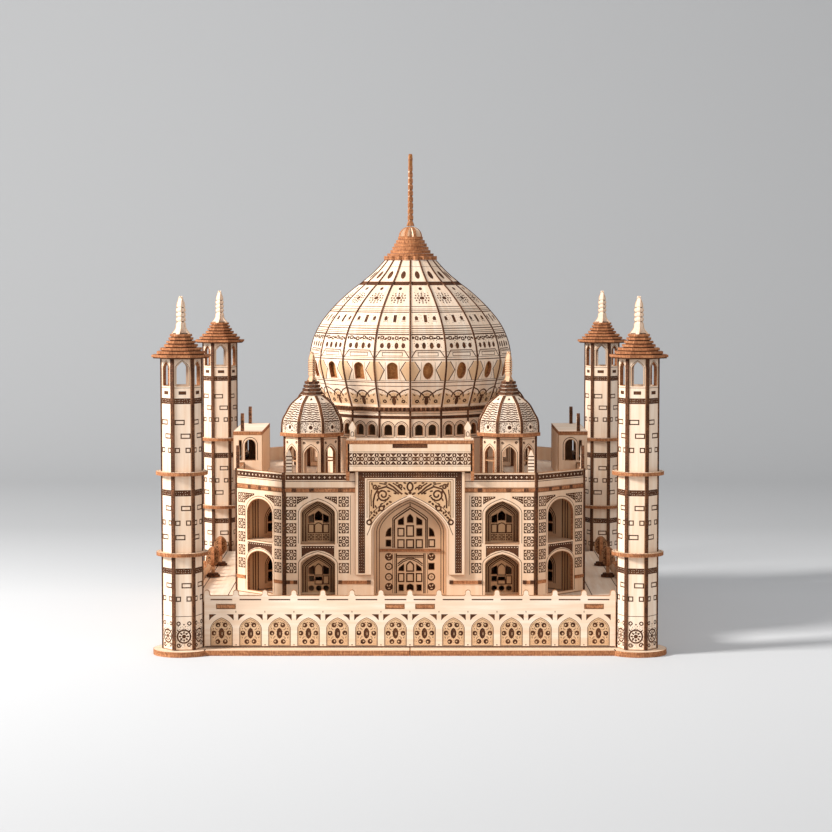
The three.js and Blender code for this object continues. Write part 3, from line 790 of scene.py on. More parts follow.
def tree():
    low, high = box("tree_front_right")
    piece = Piece(seed=9)
    piece.add(lying(low[2] + 1.1), circle(0, 0, 4.2, 24), thickness=1.1, face=CHAR, edge=CHAR)
    piece.add(lying(low[2] + 2.2), circle(0, 0, 3.2, 24), thickness=1.0, face=CHAR, edge=CHAR)
    crown = high[2] - 6.0
    angles = [math.radians(degrees) for degrees in range(-60, 90, 15)]
    head = [(4.1 * math.cos(a), crown + 6.0 * math.sin(a)) for a in angles]
    profile = [(0.9, low[2] + 2.2), (0.9, crown - 6.0), *head, (0, high[2])]
    vein = [line([(0, crown - 6.5), (0, crown + 4)], 0.35)]
    for step in (-2.5, 0.5):
        for side in (-1, 1):
            vein.append(line([(side * 0.5, crown + step), (side * 2.6, crown + step + 2.0)], 0.3))
    vein += speckle(piece.random, -3.4, 3.4, crown - 5.0, high[2] - 1.5, 60, 0.42)
    crossed_boards(piece, profile, EDGE, vein, 0.0, 0.0, SCORCHED)
    return piece


# ------------------------------------------------------------------ hall

HALL_FACE = -box("hall_wall_front")[0][1]
HALL_FOOT = box("hall_wall_front")[0][2]
WALL_TOP = box("hall_wall_front")[1][2]
WALL_END = box("hall_wall_front")[1][0]
HALL_CORNER = WALL_END + 1.3
ROOF_TOP = box("hall_roof")[1][2]
PARAPET_FOOT = box("hall_parapet")[0][2]
PARAPET_TOP = box("hall_parapet")[1][2]
PORTAL_HALF = 22.0
PORTAL_SPRING = 65.5
PORTAL_CROWN = 85.6
BOX_TOP = 118.7
PANEL_FOOT = 100.9
CHAMFER_FACE = (HALL_FACE + HALL_CORNER) / math.sqrt(2)
CHAMFER_HALF = (HALL_FACE - HALL_CORNER) / math.sqrt(2)
SCREEN_FACE = HALL_FACE - 10.0
FLOOR_TOP = 58.6
UPPER_SPRING = 76.2
UPPER_CROWN = 83.2
LOWER_SPRING = 47.0
LOWER_CROWN = 52.7
LOWER_SILL = HALL_FOOT + 1.5
STRING_TOP = 37.6  # the ply edge that shows low on every hall wall
CELL = 5.9  # lattice squares
CELL_PITCH = 7.66
CELL_TOP = 86.0
LEDGE_TOP = 54.6
WING_CENTRE = 52.9
WING_HALF = 9.7
NICHE_ARCH_HALF = 11.0
NICHE_HALF = 15.5
NICHE_DEPTH = 30.0
NICHE_WINDOW_AT = 21.4


def lace(left, right, bottom, top):
    """A square of burnt lattice, with light leaves and dots left standing in a dark field."""
    cx, cy = (left + right) / 2, (bottom + top) / 2
    wide, high = (right - left) / 2, (top - bottom) / 2
    size = min(wide, high)
    islands = [circle(cx, cy, size * 0.30, 8)]
    for a in range(4):
        turn = QUARTER * a + QUARTER / 2
        x, y = math.cos(turn) * wide, math.sin(turn) * high
        islands.append(petal(cx + x * 0.84, cy + y * 0.84, size * 0.62, size * 0.34, turn + QUARTER, 3))
        islands.append(circle(cx + x * 0.52, cy + y * 0.52, size * 0.13, 5))
        x, y = math.cos(QUARTER * a), math.sin(QUARTER * a)
        at = (cx + x * wide * 0.64, cy + y * high * 0.64)
        islands.append(petal(*at, size * 0.42, size * 0.24, QUARTER * a, 3))
        for side in (-1, 1):
            along = (x * 0.90 - y * side * 0.40, y * 0.90 + x * side * 0.40)
            islands.append(circle(cx + wide * along[0], cy + high * along[1], size * 0.085, 4))
    return [[rect(left, right, bottom, top), *islands], solid(circle(cx, cy, size * 0.12, 6))]


def lace_column(left, right, rows=6):
    marks = []
    for i in range(rows):
        top = CELL_TOP - CELL_PITCH * i
        marks += lace(left, right, top - CELL, top)
    return marks


def spandrel(column, arch_edge, drop):
    """The top lattice square carried on over the arch, narrowing to a point."""
    top = CELL_TOP
    span = arch_edge - column
    outline = [(column, top), (column, top - drop), (column + span * 0.35, top - drop * 0.66),
               (column + span * 0.7, top - drop * 0.36), (arch_edge, top - 1.0), (arch_edge, top)]
    islands = []
    for i in range(5):
        x = column + span * (0.1 + 0.17 * i)
        room = drop * (1 - 0.85 * (0.1 + 0.17 * i))
        islands.append(petal(x, top - room * 0.3, 0.9, 0.5, 0.6 if i % 2 else -0.6, 3))
        if i < 3:
            islands.append(circle(x + span * 0.02, top - room * 0.66, 0.3, 5))
    return [[outline, *islands]]


def ledge(piece, place_top, left, right, bottom, top):
    """A ply edge that shows as a strip: a narrow lying sheet, half a millimetre proud of the wall's face."""
    piece.add(place_top(top), rect(left, right, -0.5, 1.0), thickness=top - bottom, scorch=0)


def strip_on(face, angle=0.0):
    """Places narrow lying strips along a standing wall. Their v is 0 at its face and grows inwards."""
    def at(top):
        def place(u, v, w):
            return (*turned(u, -face + v, angle), top - w)
        return place
    return at


def under_floor_band(x, half):
    """The dark lattice between a gallery floor and the light border of the arch below it."""
    low, high = LOWER_CROWN + 0.4, FLOOR_TOP - 1.0
    crown = LOWER_CROWN + 2.2
    outline = [(x - half, high), (x - half, low - 2.2), (x - half * 0.72, low - 0.1),
               (x - half * 0.4, crown - 0.6), (x, crown), (x + half * 0.4, crown - 0.6),
               (x + half * 0.72, low - 0.1), (x + half, low - 2.2), (x + half, high)]
    islands = []
    for i in range(12):
        at = x + half * (i - 5.5) / 6
        islands.append(petal(at, high - 0.9, 0.9, 0.45, 0.5 if i % 2 else -0.5, 3))
    return [outline, *islands]


def hall_wall():
    # the hall wall's warm, darker tone range is painted shade; the spread within it is the wood's own
    piece = Piece(seed=11, tones=(0.42, 0.5))
    portal = arch(0, PORTAL_HALF - 1.4, HALL_FOOT, PORTAL_SPRING, PORTAL_CROWN - 1.4, 0.4, 12)
    outline = [(-WALL_END, HALL_FOOT), portal[0], *reversed(portal[2:]), portal[1],
               (WALL_END, HALL_FOOT), (WALL_END, WALL_TOP), (-WALL_END, WALL_TOP)]
    holes = []
    marks = []
    for x in (-WING_CENTRE, WING_CENTRE):
        out = 1 if x > 0 else -1
        holes.append(arch(x, WING_HALF, FLOOR_TOP, UPPER_SPRING, UPPER_CROWN))
        holes.append(arch(x, WING_HALF, LOWER_SILL, LOWER_SPRING, LOWER_CROWN))
        for sill, spring, crown in ((FLOOR_TOP + 0.4, UPPER_SPRING, UPPER_CROWN),
                                    (LOWER_SILL, LOWER_SPRING, LOWER_CROWN)):
            marks.append(line(arch_line(x, WING_HALF + 1.5, sill, spring + 0.3, crown + 1.6), 0.26))
        marks.append(under_floor_band(x, WING_HALF - 0.3))
        marks += lace_column(*left_to_right(x + out * 12.3, x + out * (12.3 + CELL)))
        marks += lace_column(*left_to_right(x - out * 11.9, x - out * (11.9 + CELL)))
        marks += spandrel(x + out * 12.0, x + out * 5.6, 4.6)
        marks += spandrel(x - out * 11.0, x - out * 4.0, 4.6)
        marks.append(upright_line(x - out * 18.7, 41.0, 86.6, 0.22))
        marks.append(upright_line(x + out * 18.9, 41.0, 86.6, 0.22))
    piece.add(standing(HALL_FACE), outline, holes, marks)
    at = strip_on(HALL_FACE)
    for side in (-1, 1):
        for near, far in ((22.6, 41.2), (64.7, WALL_END)):
            left, right = left_to_right(side * near, side * far)
            ledge(piece, at, left, right, STRING_TOP - PLY, STRING_TOP)
            for end in (left + 1.1, right - 1.1):
                piece.add(at(STRING_TOP + 0.05), rect(end - 1.1, end + 1.1, -0.6, 0.9), thickness=PLY + 0.1,
                          face=CHAR, edge=CHAR)
    return piece


def pointed_pane_group(cx, half, sill, apex, marks, holes, tints, dark):
    """A window of three heads over three outlined panes and a row of small ones."""
    tall = apex - sill
    tints.append(arch(cx, half, sill, apex - tall * 0.3, apex, 0.6))
    for shrink, width in ((0.0, 0.4), (0.75, 0.25), (1.7, 0.5), (2.6, 0.25)):
        spring, crown = apex - tall * 0.31 - shrink * 0.5, apex - shrink * 1.2
        marks.append(line(arch_line(cx, half - shrink, sill, spring, crown, 0.65), width + 0.1))
    inner = half - 3.4
    pane = inner * 0.56
    head = sill + tall * 0.47
    for side in (-1, 1):
        outer_x, inner_x = cx + side * inner, cx + side * (inner - pane)
        left, right = left_to_right(outer_x, inner_x)
        holes.append([(left, head), (right, head), *sorted_top(outer_x, inner_x, head + 3.6, head + 5.3)])
        low_pane = rect(left + 0.1, right - 0.1, sill + tall * 0.22, head - 0.9)
        if dark and side < 0:
            holes.append(rect(left + 0.1, right - 0.1, head - 4.0, head - 0.9))
        else:
            marks.append(border(low_pane, 0.5))
    if dark:
        marks.append(border(arch(cx, pane * 0.70, head - 0.4, head + 3.6, head + 6.2, 0.5, 5), 0.5))
        holes.append(rect(cx - pane * 0.6, cx + pane * 0.6, head - 3.6, head - 1.3))
        marks.append(border(middle_rect(cx, sill + tall * 0.28, pane * 1.3, tall * 0.13), 0.5))
    else:
        holes.append(arch(cx, pane * 0.66, head + 1.3, head + 4.6, head + 6.9, 0.6, 5))
        marks.append(border(arch(cx, pane * 0.68, sill + tall * 0.22, head - 1.8, head - 0.1, 0.2, 5), 0.5))
    low = sill + tall * 0.03
    high = sill + tall * 0.19
    for i in (-1, 0, 1):
        x = cx + i * (inner - pane * 0.5)
        if dark:
            holes.append(circle(x, (low + high) / 2, pane * 0.5, 8))
        else:
            marks += lace(x - pane * 0.55, x + pane * 0.55, low, high)


def sorted_top(outer_x, inner_x, outer_z, inner_z):
    """The two upper corners of a pane whose head slopes up towards the middle, right corner first."""
    corners = [(outer_x, outer_z), (inner_x, inner_z)]
    return sorted(corners, reverse=True)


def upper_portal_window(marks, holes):
    """The pointed window over the ledge behind a portal, with its three rows of panes."""
    foot = LEDGE_TOP + 0.6
    for half, width in ((10.0, 0.34), (9.1, 0.5)):
        spring, crown = 72.2 - (10 - half), 79.4 - 1.5 * (10 - half)
        marks.append(line(arch_line(0, half, foot, spring, crown, 0.85), width + 0.12))
    marks.append(upright_line(0, 79.0, 81.0, 0.4))
    rows = ((57.6, 4.6), (64.3, 4.4))
    for side in (-1, 1):
        x = side * 5.3
        head = sorted_top(x + side * 1.6, x - side * 1.6, 71.2, 73.2)
        holes.append([(x - 1.6, 68.6), (x + 1.6, 68.6), *head])
        marks.append(border(middle_rect(x, rows[0][0], 3.5, rows[0][1]), 0.62))
        quarter = [(side * 11.0, 61.9), (side * 14.1, 61.9)]
        quarter += [(side * (11.0 + 3.1 * math.cos(a)), 61.9 + 5.0 * math.sin(a))
                    for a in (math.radians(30), math.radians(55), math.radians(80))]
        holes.append([*quarter, (side * 11.0, 66.9)])
    marks.append(border(middle_rect(-5.3, rows[1][0], 3.4, rows[1][1]), 0.62))
    holes.append(middle_rect(5.3, rows[1][0], 3.2, rows[1][1]))
    holes.append(arch(0, 1.7, 69.9, 72.4, 74.8, 0.6, 5))
    marks.append(border(middle_rect(0, 65.0, 3.9, 6.0), 0.66))
    marks.append(border(middle_rect(0, rows[0][0], 3.9, rows[0][1]), 0.66))
    holes.append(middle_rect(-12.5, 57.9, 2.9, 3.8))
    marks.append(border(middle_rect(12.5, 57.9, 3.2, 4.0), 0.62))


def portal_doorway(marks, holes):
    """The pointed doorway under the ledge, and the column of medallions on both sides of it."""
    heights = (50.0, 44.4, 38.3, 32.6)
    for side in (-1, 1):
        for i, z in enumerate(heights):
            if side > 0 and i == 1:
                holes.append(middle_rect(12.3, z, 3.3, 3.8))
                continue
            if i in (0, 3):
                leaves = [petal(side * 12.3 + x, z + y, 1.5, 0.7, turn, 3)
                          for x, y, turn in ((0.7, 0.8, 0.8), (-0.8, 0.6, -0.9), (0.1, -1.0, 0.1))]
                marks.append([circle(side * 12.3, z, 2.3, 12), *leaves])
            else:
                marks.append(ring(side * 12.3, z, 1.9, 0.6, 12))
                marks += flower(side * 12.3, z, 1.2, 5)
        for x, width in ((8.9, 0.26), (8.0, 0.62), (10.1, 0.2)):
            marks.append(upright_line(side * x, HALL_FOOT + 1, 52.0, width))
        holes.append([(side * 3.6, 41.8), (side * 6.7, 41.8), (side * 6.4, 43.6), (side * 3.6, 45.8)])
        marks.append(border(middle_rect(side * 5.2, 37.9, 3.1, 4.6), 0.62))
        holes.append(middle_rect(side * 5.2, 32.0, 2.7, 3.6))
    for z, width in ((50.6, 0.62), (49.6, 0.2)):
        marks.append(level_line(-7.6, 7.6, z, width + 0.12))
    for rise, width in ((0.0, 0.3), (1.2, 0.44)):
        right = [(1.5, 48.2 + rise * 0.8), (4.2, 47.0 + rise), (7.2, 44.6 + rise)]
        left = [(-x, z) for x, z in reversed(right)]
        marks.append(line([*left, (0, 48.7 + rise * 0.6), *right], width + 0.12))
    marks.append(border(arch(0, 2.0, 41.7, 45.0, 47.2, 0.6, 5), 0.66))
    marks.append(border(middle_rect(0, 37.9, 3.9, 4.6), 0.66))
    holes.append(arch(0, 1.9, 30.4, 32.8, 34.2, 0.2, 5))


def hall_screen():
    """The recessed wall with its windows, and the gallery floors and fins between it and the hall wall.

    A dark board behind the portal's windows keeps the light of the far side out of them; its charred colour
    is painted shade.
    """
    end = 67.0
    # the screen's warm, dark tones are painted shade for its place deep behind the hall wall
    piece = Piece(seed=12, tones=(0.18, 0.26))
    holes = []
    marks = []
    tints = []
    for x in (-WING_CENTRE, WING_CENTRE):
        pointed_pane_group(x, 9.3, FLOOR_TOP + 0.3, 82.2, marks, holes, tints, False)
        pointed_pane_group(x, 9.3, LOWER_SILL + 0.1, 51.6, marks, holes, tints, True)
    upper_portal_window(marks, holes)
    portal_doorway(marks, holes)
    for half, crown in ((17.8, 81.6), (19.3, 83.2)):
        marks.append(line(arch_line(0, half, HALL_FOOT + 1, PORTAL_SPRING - 1, crown, 0.4, 12), 0.3))
    wall = rect(-end, end, HALL_FOOT, WALL_TOP)
    # tone 0.12 darkens the recessed wall as painted shade
    piece.add(standing(SCREEN_FACE), wall, holes, marks, tints=tints, tone=0.12)
    # the board really blocks light, and its charred colour is painted shade behind the windows
    lining = rect(-16.5, 16.5, HALL_FOOT, 78.5)
    piece.add(standing(SCREEN_FACE - 5.0), lining, thickness=1.0, face=CHAR, edge=CHAR)
    front = HALL_FACE - PLY - CLEARANCE
    for side in (-1, 1):
        left, right = left_to_right(side * 26.2, side * 66.0)
        piece.add(lying(FLOOR_TOP), rect(left, right, -front, -SCREEN_FACE))
        piece.add(across(side * 25.0), rect(-front, -SCREEN_FACE, HALL_FOOT, WALL_TOP))
    piece.add(strip_on(SCREEN_FACE)(LEDGE_TOP), rect(-17.5, 17.5, -1.3, 0.5), thickness=1.5, face=EDGE)
    return piece


def corner_niche():
    """A short wall with two stacked arches, and the niche and floor behind it."""
    # the niche wall shares the hall wall's warm range, which is partly painted shade
    piece = Piece(seed=13, tones=(0.42, 0.5))
    end = CHAMFER_HALF - 0.6
    steps = 11
    openings = [arch(0, NICHE_ARCH_HALF, FLOOR_TOP, UPPER_CROWN - 8.5, UPPER_CROWN, 0, steps),
                arch(0, NICHE_ARCH_HALF, LOWER_SILL, LOWER_CROWN - 7, LOWER_CROWN, 0, steps)]
    wide = NICHE_ARCH_HALF + 1.4
    marks = []
    for sill, spring, crown in ((FLOOR_TOP + 0.4, UPPER_CROWN - 8.2, UPPER_CROWN),
                                (LOWER_SILL, LOWER_CROWN - 6.7, LOWER_CROWN)):
        marks.append(line(arch_line(0, wide, sill, spring, crown + 1.5, 0, steps), 0.26))
    marks.append(under_floor_band(0, NICHE_ARCH_HALF - 0.3))
    for side in (-1, 1):
        marks += lace_column(*left_to_right(side * 12.9, side * (12.9 + CELL)))
        marks += spandrel(side * 12.6, side * 4.6, 4.8)
    piece.add(standing(CHAMFER_FACE), rect(-end, end, HALL_FOOT, WALL_TOP), openings, marks)
    at = strip_on(CHAMFER_FACE)
    for side in (-1, 1):
        left, right = left_to_right(side * 12.6, side * end)
        ledge(piece, at, left, right, STRING_TOP - PLY, STRING_TOP)
    back_face = CHAMFER_FACE - NICHE_DEPTH + PLY
    lines = [upright_line(x, HALL_FOOT, WALL_TOP, 0.3) for x in (-8.5, -7.3, 7.3, 8.5)]
    inner = NICHE_HALF - PLY
    # the back wall's low tone is painted shade deep in the niche
    piece.add(standing(back_face), rect(-inner, inner, HALL_FOOT, WALL_TOP), marks=lines, tone=0.15)
    middle = -CHAMFER_FACE + NICHE_WINDOW_AT
    for side in (-1, 1):
        windows = []
        frames = []
        for sill, spring, crown in ((61.5, 69.5, 73.5), (32, 41.5, 45.5)):
            half_way = (sill + crown) / 2 - 0.6
            windows.append(rect(middle - 3.2, middle + 3.2, sill, half_way - 0.5))
            windows.append(arch(middle, 3.2, half_way + 0.5, spring, crown, 0.35, 7))
            for grow in (1.0, 2.2):
                frame_line = arch_line(middle, 3.2 + grow, sill - 1, spring, crown + grow * 1.4, 0.4)
                frames.append(line(frame_line, 0.45))
        front = -CHAMFER_FACE + PLY / 2 + 1.2
        # this toasted strip at the front of each side wall is painted shade, and so is the side walls' low
        # tone
        shaded = [rect(front, front + 8.4, HALL_FOOT, WALL_TOP)]
        frames += [upright_line(front + x, HALL_FOOT, WALL_TOP, 0.6) for x in (4.4, 6.2, 8.4)]
        outline = rect(front, -CHAMFER_FACE + NICHE_DEPTH - PLY, HALL_FOOT, WALL_TOP)
        if side < 0:
            piece.add(across(-NICHE_HALF + PLY / 2), outline, windows, frames, tone=0.15, tints=shaded)
        else:
            lines = [mirrored(mark) for mark in frames]
            piece.add(facing_left(NICHE_HALF - PLY), mirrored([outline])[0], mirrored(windows), lines,
                      tone=0.15, tints=mirrored(shaded))
    floor = rect(-inner, inner, -CHAMFER_FACE + 0.4, -CHAMFER_FACE + NICHE_DEPTH - PLY)
    piece.add(lying(FLOOR_TOP), floor)
    return piece


def hall_corners(half):
    """The eight corners of the hall's outline, counter-clockwise from the left end of the front."""
    corner = HALL_CORNER - (HALL_FACE - half) * math.tan(math.pi / 8)
    outline = []
    for angle in SIDES.values():
        outline += [turned(-corner, -half, angle), turned(corner, -half, angle)]
    return outline


def corner_ribs(piece, foot, top):
    """Charred posts on the eight corners of the hall."""
    for angle in SIDES.values():
        for side in (-1, 1):
            turn = angle + side * math.pi / 8
            reach = math.hypot(HALL_CORNER, HALL_FACE)
            offset = math.atan2(HALL_CORNER, HALL_FACE) * side - side * math.pi / 8
            place = standing(reach * math.cos(offset) + 0.35, turn)
            at = reach * math.sin(offset)
            piece.add(place, rect(at - 0.85, at + 0.85, foot, top), thickness=2.2, face=CHAR, edge=CHAR)


def hall_roof():
    piece = Piece(seed=14, tones=(0.7, 0.8))
    marks = []
    for half in (96.0, 70.0):
        marks.append(border(hall_corners(half), 0.4))
    marks.append(border(circle(0, 0, 58.0, 36), 0.5))
    piece.add(lying(ROOF_TOP), hall_corners(HALL_FACE), marks=marks)
    # the darker joints where the walls' tabs come up through the roof's edge
    for angle in SIDES.values():
        for at in (-66.5, -56.5, -40.0, 40.0, 56.5, 66.5):
            place = strip_on(HALL_FACE, angle)(ROOF_TOP - 0.05)
            piece.add(place, rect(at - 1.3, at + 1.3, -0.12, 0.4), thickness=1.9, face=CHAR, edge=CHAR)
        for at in (-9.0, 0.0, 9.0):
            place = strip_on(CHAMFER_FACE, angle + QUARTER / 2)(ROOF_TOP - 0.05)
            piece.add(place, rect(at - 1.2, at + 1.2, -0.12, 0.4), thickness=1.9, face=CHAR, edge=CHAR)
    corner_ribs(piece, HALL_FOOT, ROOF_TOP + 0.1)
    return piece


def hall_parapet():
    piece = Piece(seed=15, tones=(0.5, 0.6))
    for angle in SIDES.values():
        for face, half, turn in ((HALL_FACE, HALL_CORNER, angle),
                                 (CHAMFER_FACE, CHAMFER_HALF, angle + QUARTER / 2)):
            end = half - 0.9
            marks = []
            count = round(2 * end / 3.0)
            for i in range(count):
                left = -end + 0.3 + (2 * end - 0.6) * i / count
                right = left + (2 * end - 0.6) / count
                if face == HALL_FACE and abs((left + right) / 2) < 35:
                    continue
                marks += lace_band_cell(left, right, 95.4, 98.6)
            marks.append(level_line(-end, end, 94.7, 0.3))
            piece.add(standing(face, turn), rect(-end, end, PARAPET_FOOT, PARAPET_TOP), marks=marks)
    for angle in SIDES.values():
        for side in (-1, 1):
            corner_post(piece, side * (HALL_CORNER - 3.2), angle)
    corner_ribs(piece, PARAPET_FOOT, PARAPET_TOP + 0.1)
    return piece


def corner_post(piece, at, angle):
    """A small banded post that stands on the parapet near a corner, flat to the long wall."""
    foot = PARAPET_TOP
    profile = [(2.0, 0.0), (2.0, 3.2), (1.6, 3.6), (2.0, 4.0), (2.0, 7.0), (1.5, 7.4), (1.9, 7.9),
               (1.9, 9.6), (1.2, 11.4), (0.5, 13.2)]
    outline = [(at + x, foot + z) for x, z in profile] + [(at - x, foot + z) for x, z in reversed(profile)]
    bands = [level_line(at - 1.7, at + 1.7, foot + z, 0.5) for z in (1.6, 3.6, 5.4, 7.4, 9.4)]
    piece.add(standing(HALL_FACE, angle), outline, marks=bands, edge=CHAR, tone=0.85)


def lace_band_cell(left, right, bottom, top):
    """A dark patch with a light cross left standing in it."""
    cx, cy = (left + right) / 2, (bottom + top) / 2
    wide = (right - left) / 2
    high = (top - bottom) / 2
    star = []
    for i in range(8):
        a = math.pi / 4 * i
        reach = 0.5 if i % 2 == 0 else 0.2
        star.append((cx + wide * reach * math.cos(a), cy + high * reach * math.sin(a)))
    return [[rect(left, right - 0.02, bottom, top), star]]


# ------------------------------------------------------------------ portals

PORTAL_LOW, PORTAL_HIGH = box("portal_front")
BOX_FACE = -PORTAL_LOW[1]
FRAME_FACE = BOX_FACE - PLY
BOX_HALF = PORTAL_HIGH[0]
BOX_BACK = -PORTAL_HIGH[1]
FRAME_HALF = 31.4
FRAME_FOOT = PORTAL_LOW[2]


def frame_band(source):
    """The dark lattice band up both sides of the frame and across its top, flecked with light."""
    islands = []
    for side in (-1, 1):
        for i in range(33):
            for column in (-1, 0, 1):
                z = 43.6 + 1.6 * i + source.uniform(-0.25, 0.25)
                islands.append(circle(side * 27.7 + 1.15 * column, z, 0.17, 4, source.uniform(0, 1)))
    for i in range(38):
        for row in (0, 1):
            islands.append(circle(-26.6 + 1.44 * i, 97.9 + 1.4 * row, 0.24, 4, source.uniform(0, 1)))
    band = [(-29.7, 42.0), (-25.8, 42.0), (-25.8, 96.8), (25.8, 96.8), (25.8, 42.0), (29.7, 42.0),
            (29.7, 100.5), (-29.7, 100.5)]
    return [band, *islands]


def arc_point(t, grow):
    """A point on a curve that runs outside the portal's arch."""
    rise = PORTAL_CROWN - PORTAL_SPRING + grow
    share = 0.6 * math.sin(t) + 0.4 * (1 - math.cos(t))
    return (PORTAL_HALF + grow) * math.cos(t), PORTAL_SPRING + rise * share


def scrollwork(side):
    """The scroll over one haunch of the portal's arch, with its leaves and tendrils."""
    marks = []
    start = math.radians(200 if side > 0 else -20)
    marks.append(swirl(side * 15.4, 87.2, 3.7, 1.5, start, side, 0.75, 18))
    marks.append(swirl(side * 19.9, 91.8, 1.7, 1.3, 0.0, side, 0.7, 10))
    marks.append(swirl(side * 5.6, 91.9, 1.5, 1.3, math.pi, side, 0.6, 10))
    tendrils = (
        (0.75, [(20.9, 79.4), (21.0, 83.4), (20.2, 87.2), (18.2, 90.6), (13.6, 91.9), (9.6, 90.0),
                (6.4, 87.6)]),
        (0.8, [(12.4, 93.6), (9.2, 91.6), (6.2, 88.8), (4.4, 87.6)]),
        (0.6, [(9.9, 94.0), (7.6, 92.6), (4.6, 89.9)]),
        (0.5, [(22.2, 80.6), (22.4, 86.6), (22.0, 90.2)]),
        (0.5, [(17.6, 93.8), (14.9, 93.4), (12.9, 92.6)]),
    )
    for width, points in tendrils:
        marks.append(line([(side * x, z) for x, z in points], width))
    leaves = ((17.6, 92.2, 0.3), (3.3, 90.9, 0.9), (21.7, 93.4, 1.4), (18.6, 84.4, 2.0), (12.2, 89.3, 0.2),
              (8.6, 88.0, 0.4), (18.3, 88.6, 1.8), (7.4, 94.0, 0.1), (11.6, 86.6, 0.6), (19.6, 80.4, 1.1),
              (14.2, 84.2, 2.4), (3.0, 94.0, 0.2), (10.6, 92.4, 0.5), (16.4, 81.9, 2.6), (20.4, 77.4, 1.3),
              (22.3, 77.0, 1.5), (13.9, 94.0, 0.0), (16.0, 89.6, 0.2))
    for x, z, turn in leaves:
        marks.append(solid(petal(side * x, z, 2.0, 1.0, side * turn, 4)))
    marks.append(solid(petal(side * 2.1, 87.9, 2.6, 1.3, side * 0.5, 4)))
    return marks


def portal_frame_marks(source):
    """Dark lattice band, inner double line, scrollwork and ringed arc of the frame board."""
    marks = [frame_band(source)]
    for half, top, width in ((24.6, 95.9, 0.3), (23.4, 94.8, 0.3)):
        marks.append(line([(-half, 74.0), (-half, top), (half, top), (half, 74.0)], width))
    for side in (-1, 1):
        outer = [arc_point(math.radians(a), 1.4) for a in range(8, 87, 6)]
        marks.append(line([(side * 24.6, PORTAL_SPRING - 1.5), *[(side * x, z) for x, z in outer]], 0.3))
        upper = [arc_point(math.radians(a), 5.2) for a in range(24, 62, 6)]
        marks.append(line([(side * min(x, 23.4), z) for x, z in upper], 0.3))
        for i in range(10):
            x, z = arc_point(math.radians(22 + 4.6 * i), 3.2)
            if i in (0, 6):
                marks.append(ring(side * x, z, 1.35, 0.7, 10))
            else:
                marks.append(solid(petal(side * x, z, 2.0, 1.25, side * (0.6 + i), 4)))
        marks += scrollwork(side)
    marks.append(border(petal(0, 91.9, 4.6, 3.2, QUARTER, 6), 0.8))
    marks.append(solid(circle(0, 88.4, 1.0, 8)))
    return marks


def scroll_ground():
    """The toasted ground of the scrollwork: inside the double line, outside the arch."""
    head = [arc_point(math.radians(a), 1.8) for a in range(14, 91, 4)]
    left = [(-x, z) for x, z in head]
    inner, foot, top = 23.2, head[0][1], 94.6
    corners = [(inner, foot), (inner, top), (-inner, top), (-inner, foot)]
    return [*corners, *left, *reversed(head[:-1])]


def portal():
    piece = Piece(seed=21, tones=(0.5, 0.56))
    opening = arch(0, PORTAL_HALF, FRAME_FOOT, PORTAL_SPRING, PORTAL_CROWN, 0.4, 14)
    outline = [(-FRAME_HALF, FRAME_FOOT), opening[0], *reversed(opening[2:]), opening[1],
               (FRAME_HALF, FRAME_FOOT), (FRAME_HALF, PANEL_FOOT - 0.2), (-FRAME_HALF, PANEL_FOOT - 0.2)]
    marks = portal_frame_marks(piece.random)
    piece.add(standing(FRAME_FACE), outline, marks=marks, tints=[scroll_ground()])

    # the raised panel above the frame, with a tab slot and a band of lattice
    half = BOX_HALF - 1.1
    marks = []
    count = 11
    for i in range(count):
        left = -half + 0.7 + (2 * half - 1.4) * i / count
        marks += lace(left, left + (2 * half - 1.4) / count - 0.02, 104.6, 111.3)
    marks.append(level_line(-half, half, 103.9, 0.2))
    marks.append(level_line(-half, half, 112.0, 0.2))
    marks.append(solid(rect(-10, 10, 114.2, 116.6)))
    piece.add(standing(BOX_FACE), rect(-half, half, PANEL_FOOT, BOX_TOP - PLY - 0.1), marks=marks)

    # the board behind, the top plate, the two sides and a board across the middle that stops the light
    under_plate = BOX_TOP - PLY - 0.1
    clear = PARAPET_TOP + CLEARANCE
    back = rect(-BOX_HALF + PLY, BOX_HALF - PLY, ROOF_TOP + CLEARANCE, under_plate)
    piece.add(standing(BOX_BACK + PLY), back)
    piece.add(lying(BOX_TOP), rect(-BOX_HALF, BOX_HALF, -BOX_FACE - 0.15, -BOX_BACK), tone=1.0)
    inner = -HALL_FACE + PLY + CLEARANCE
    side_outline = [(-BOX_FACE, 95.5), (-HALL_FACE - CLEARANCE, 95.5), (-HALL_FACE - CLEARANCE, clear),
                    (inner, clear), (inner, ROOF_TOP + CLEARANCE), (-BOX_BACK, ROOF_TOP + CLEARANCE),
                    (-BOX_BACK, under_plate), (-BOX_FACE, under_plate)]
    side_arch = arch(-96.2, 3.2, clear + 1.5, BOX_TOP - 8.5, BOX_TOP - 4.9, 0, 8)
    slot = rect(-102.9, -101.3, clear + 1.5, BOX_TOP - 5.4)
    frame_line = line(arch_line(-96.2, 4.4, clear + 1.5, BOX_TOP - 8.1, BOX_TOP - 3.6, 0, 8), 0.3)
    piece.add(across(BOX_HALF - PLY / 2), side_outline, [side_arch, slot], [frame_line], tone=0.5)
    flipped = mirrored((side_outline, side_arch, slot, *frame_line))
    piece.add(facing_left(-BOX_HALF), flipped[0], flipped[1:3], [flipped[3:]], tone=0.5)
    baffle = rect(inner, -BOX_BACK - PLY - 0.2, ROOF_TOP + CLEARANCE, under_plate)
    # the baffle really blocks light, and its dark toasted colour is painted shade
    piece.add(across(0), baffle, face=TOAST_AND_SHADE, tone=0.0)
    for side in (-1, 1):
        pinnacle(piece, side * 33.0, BOX_TOP, PORTAL_HIGH[2], HALL_FACE)
    return piece


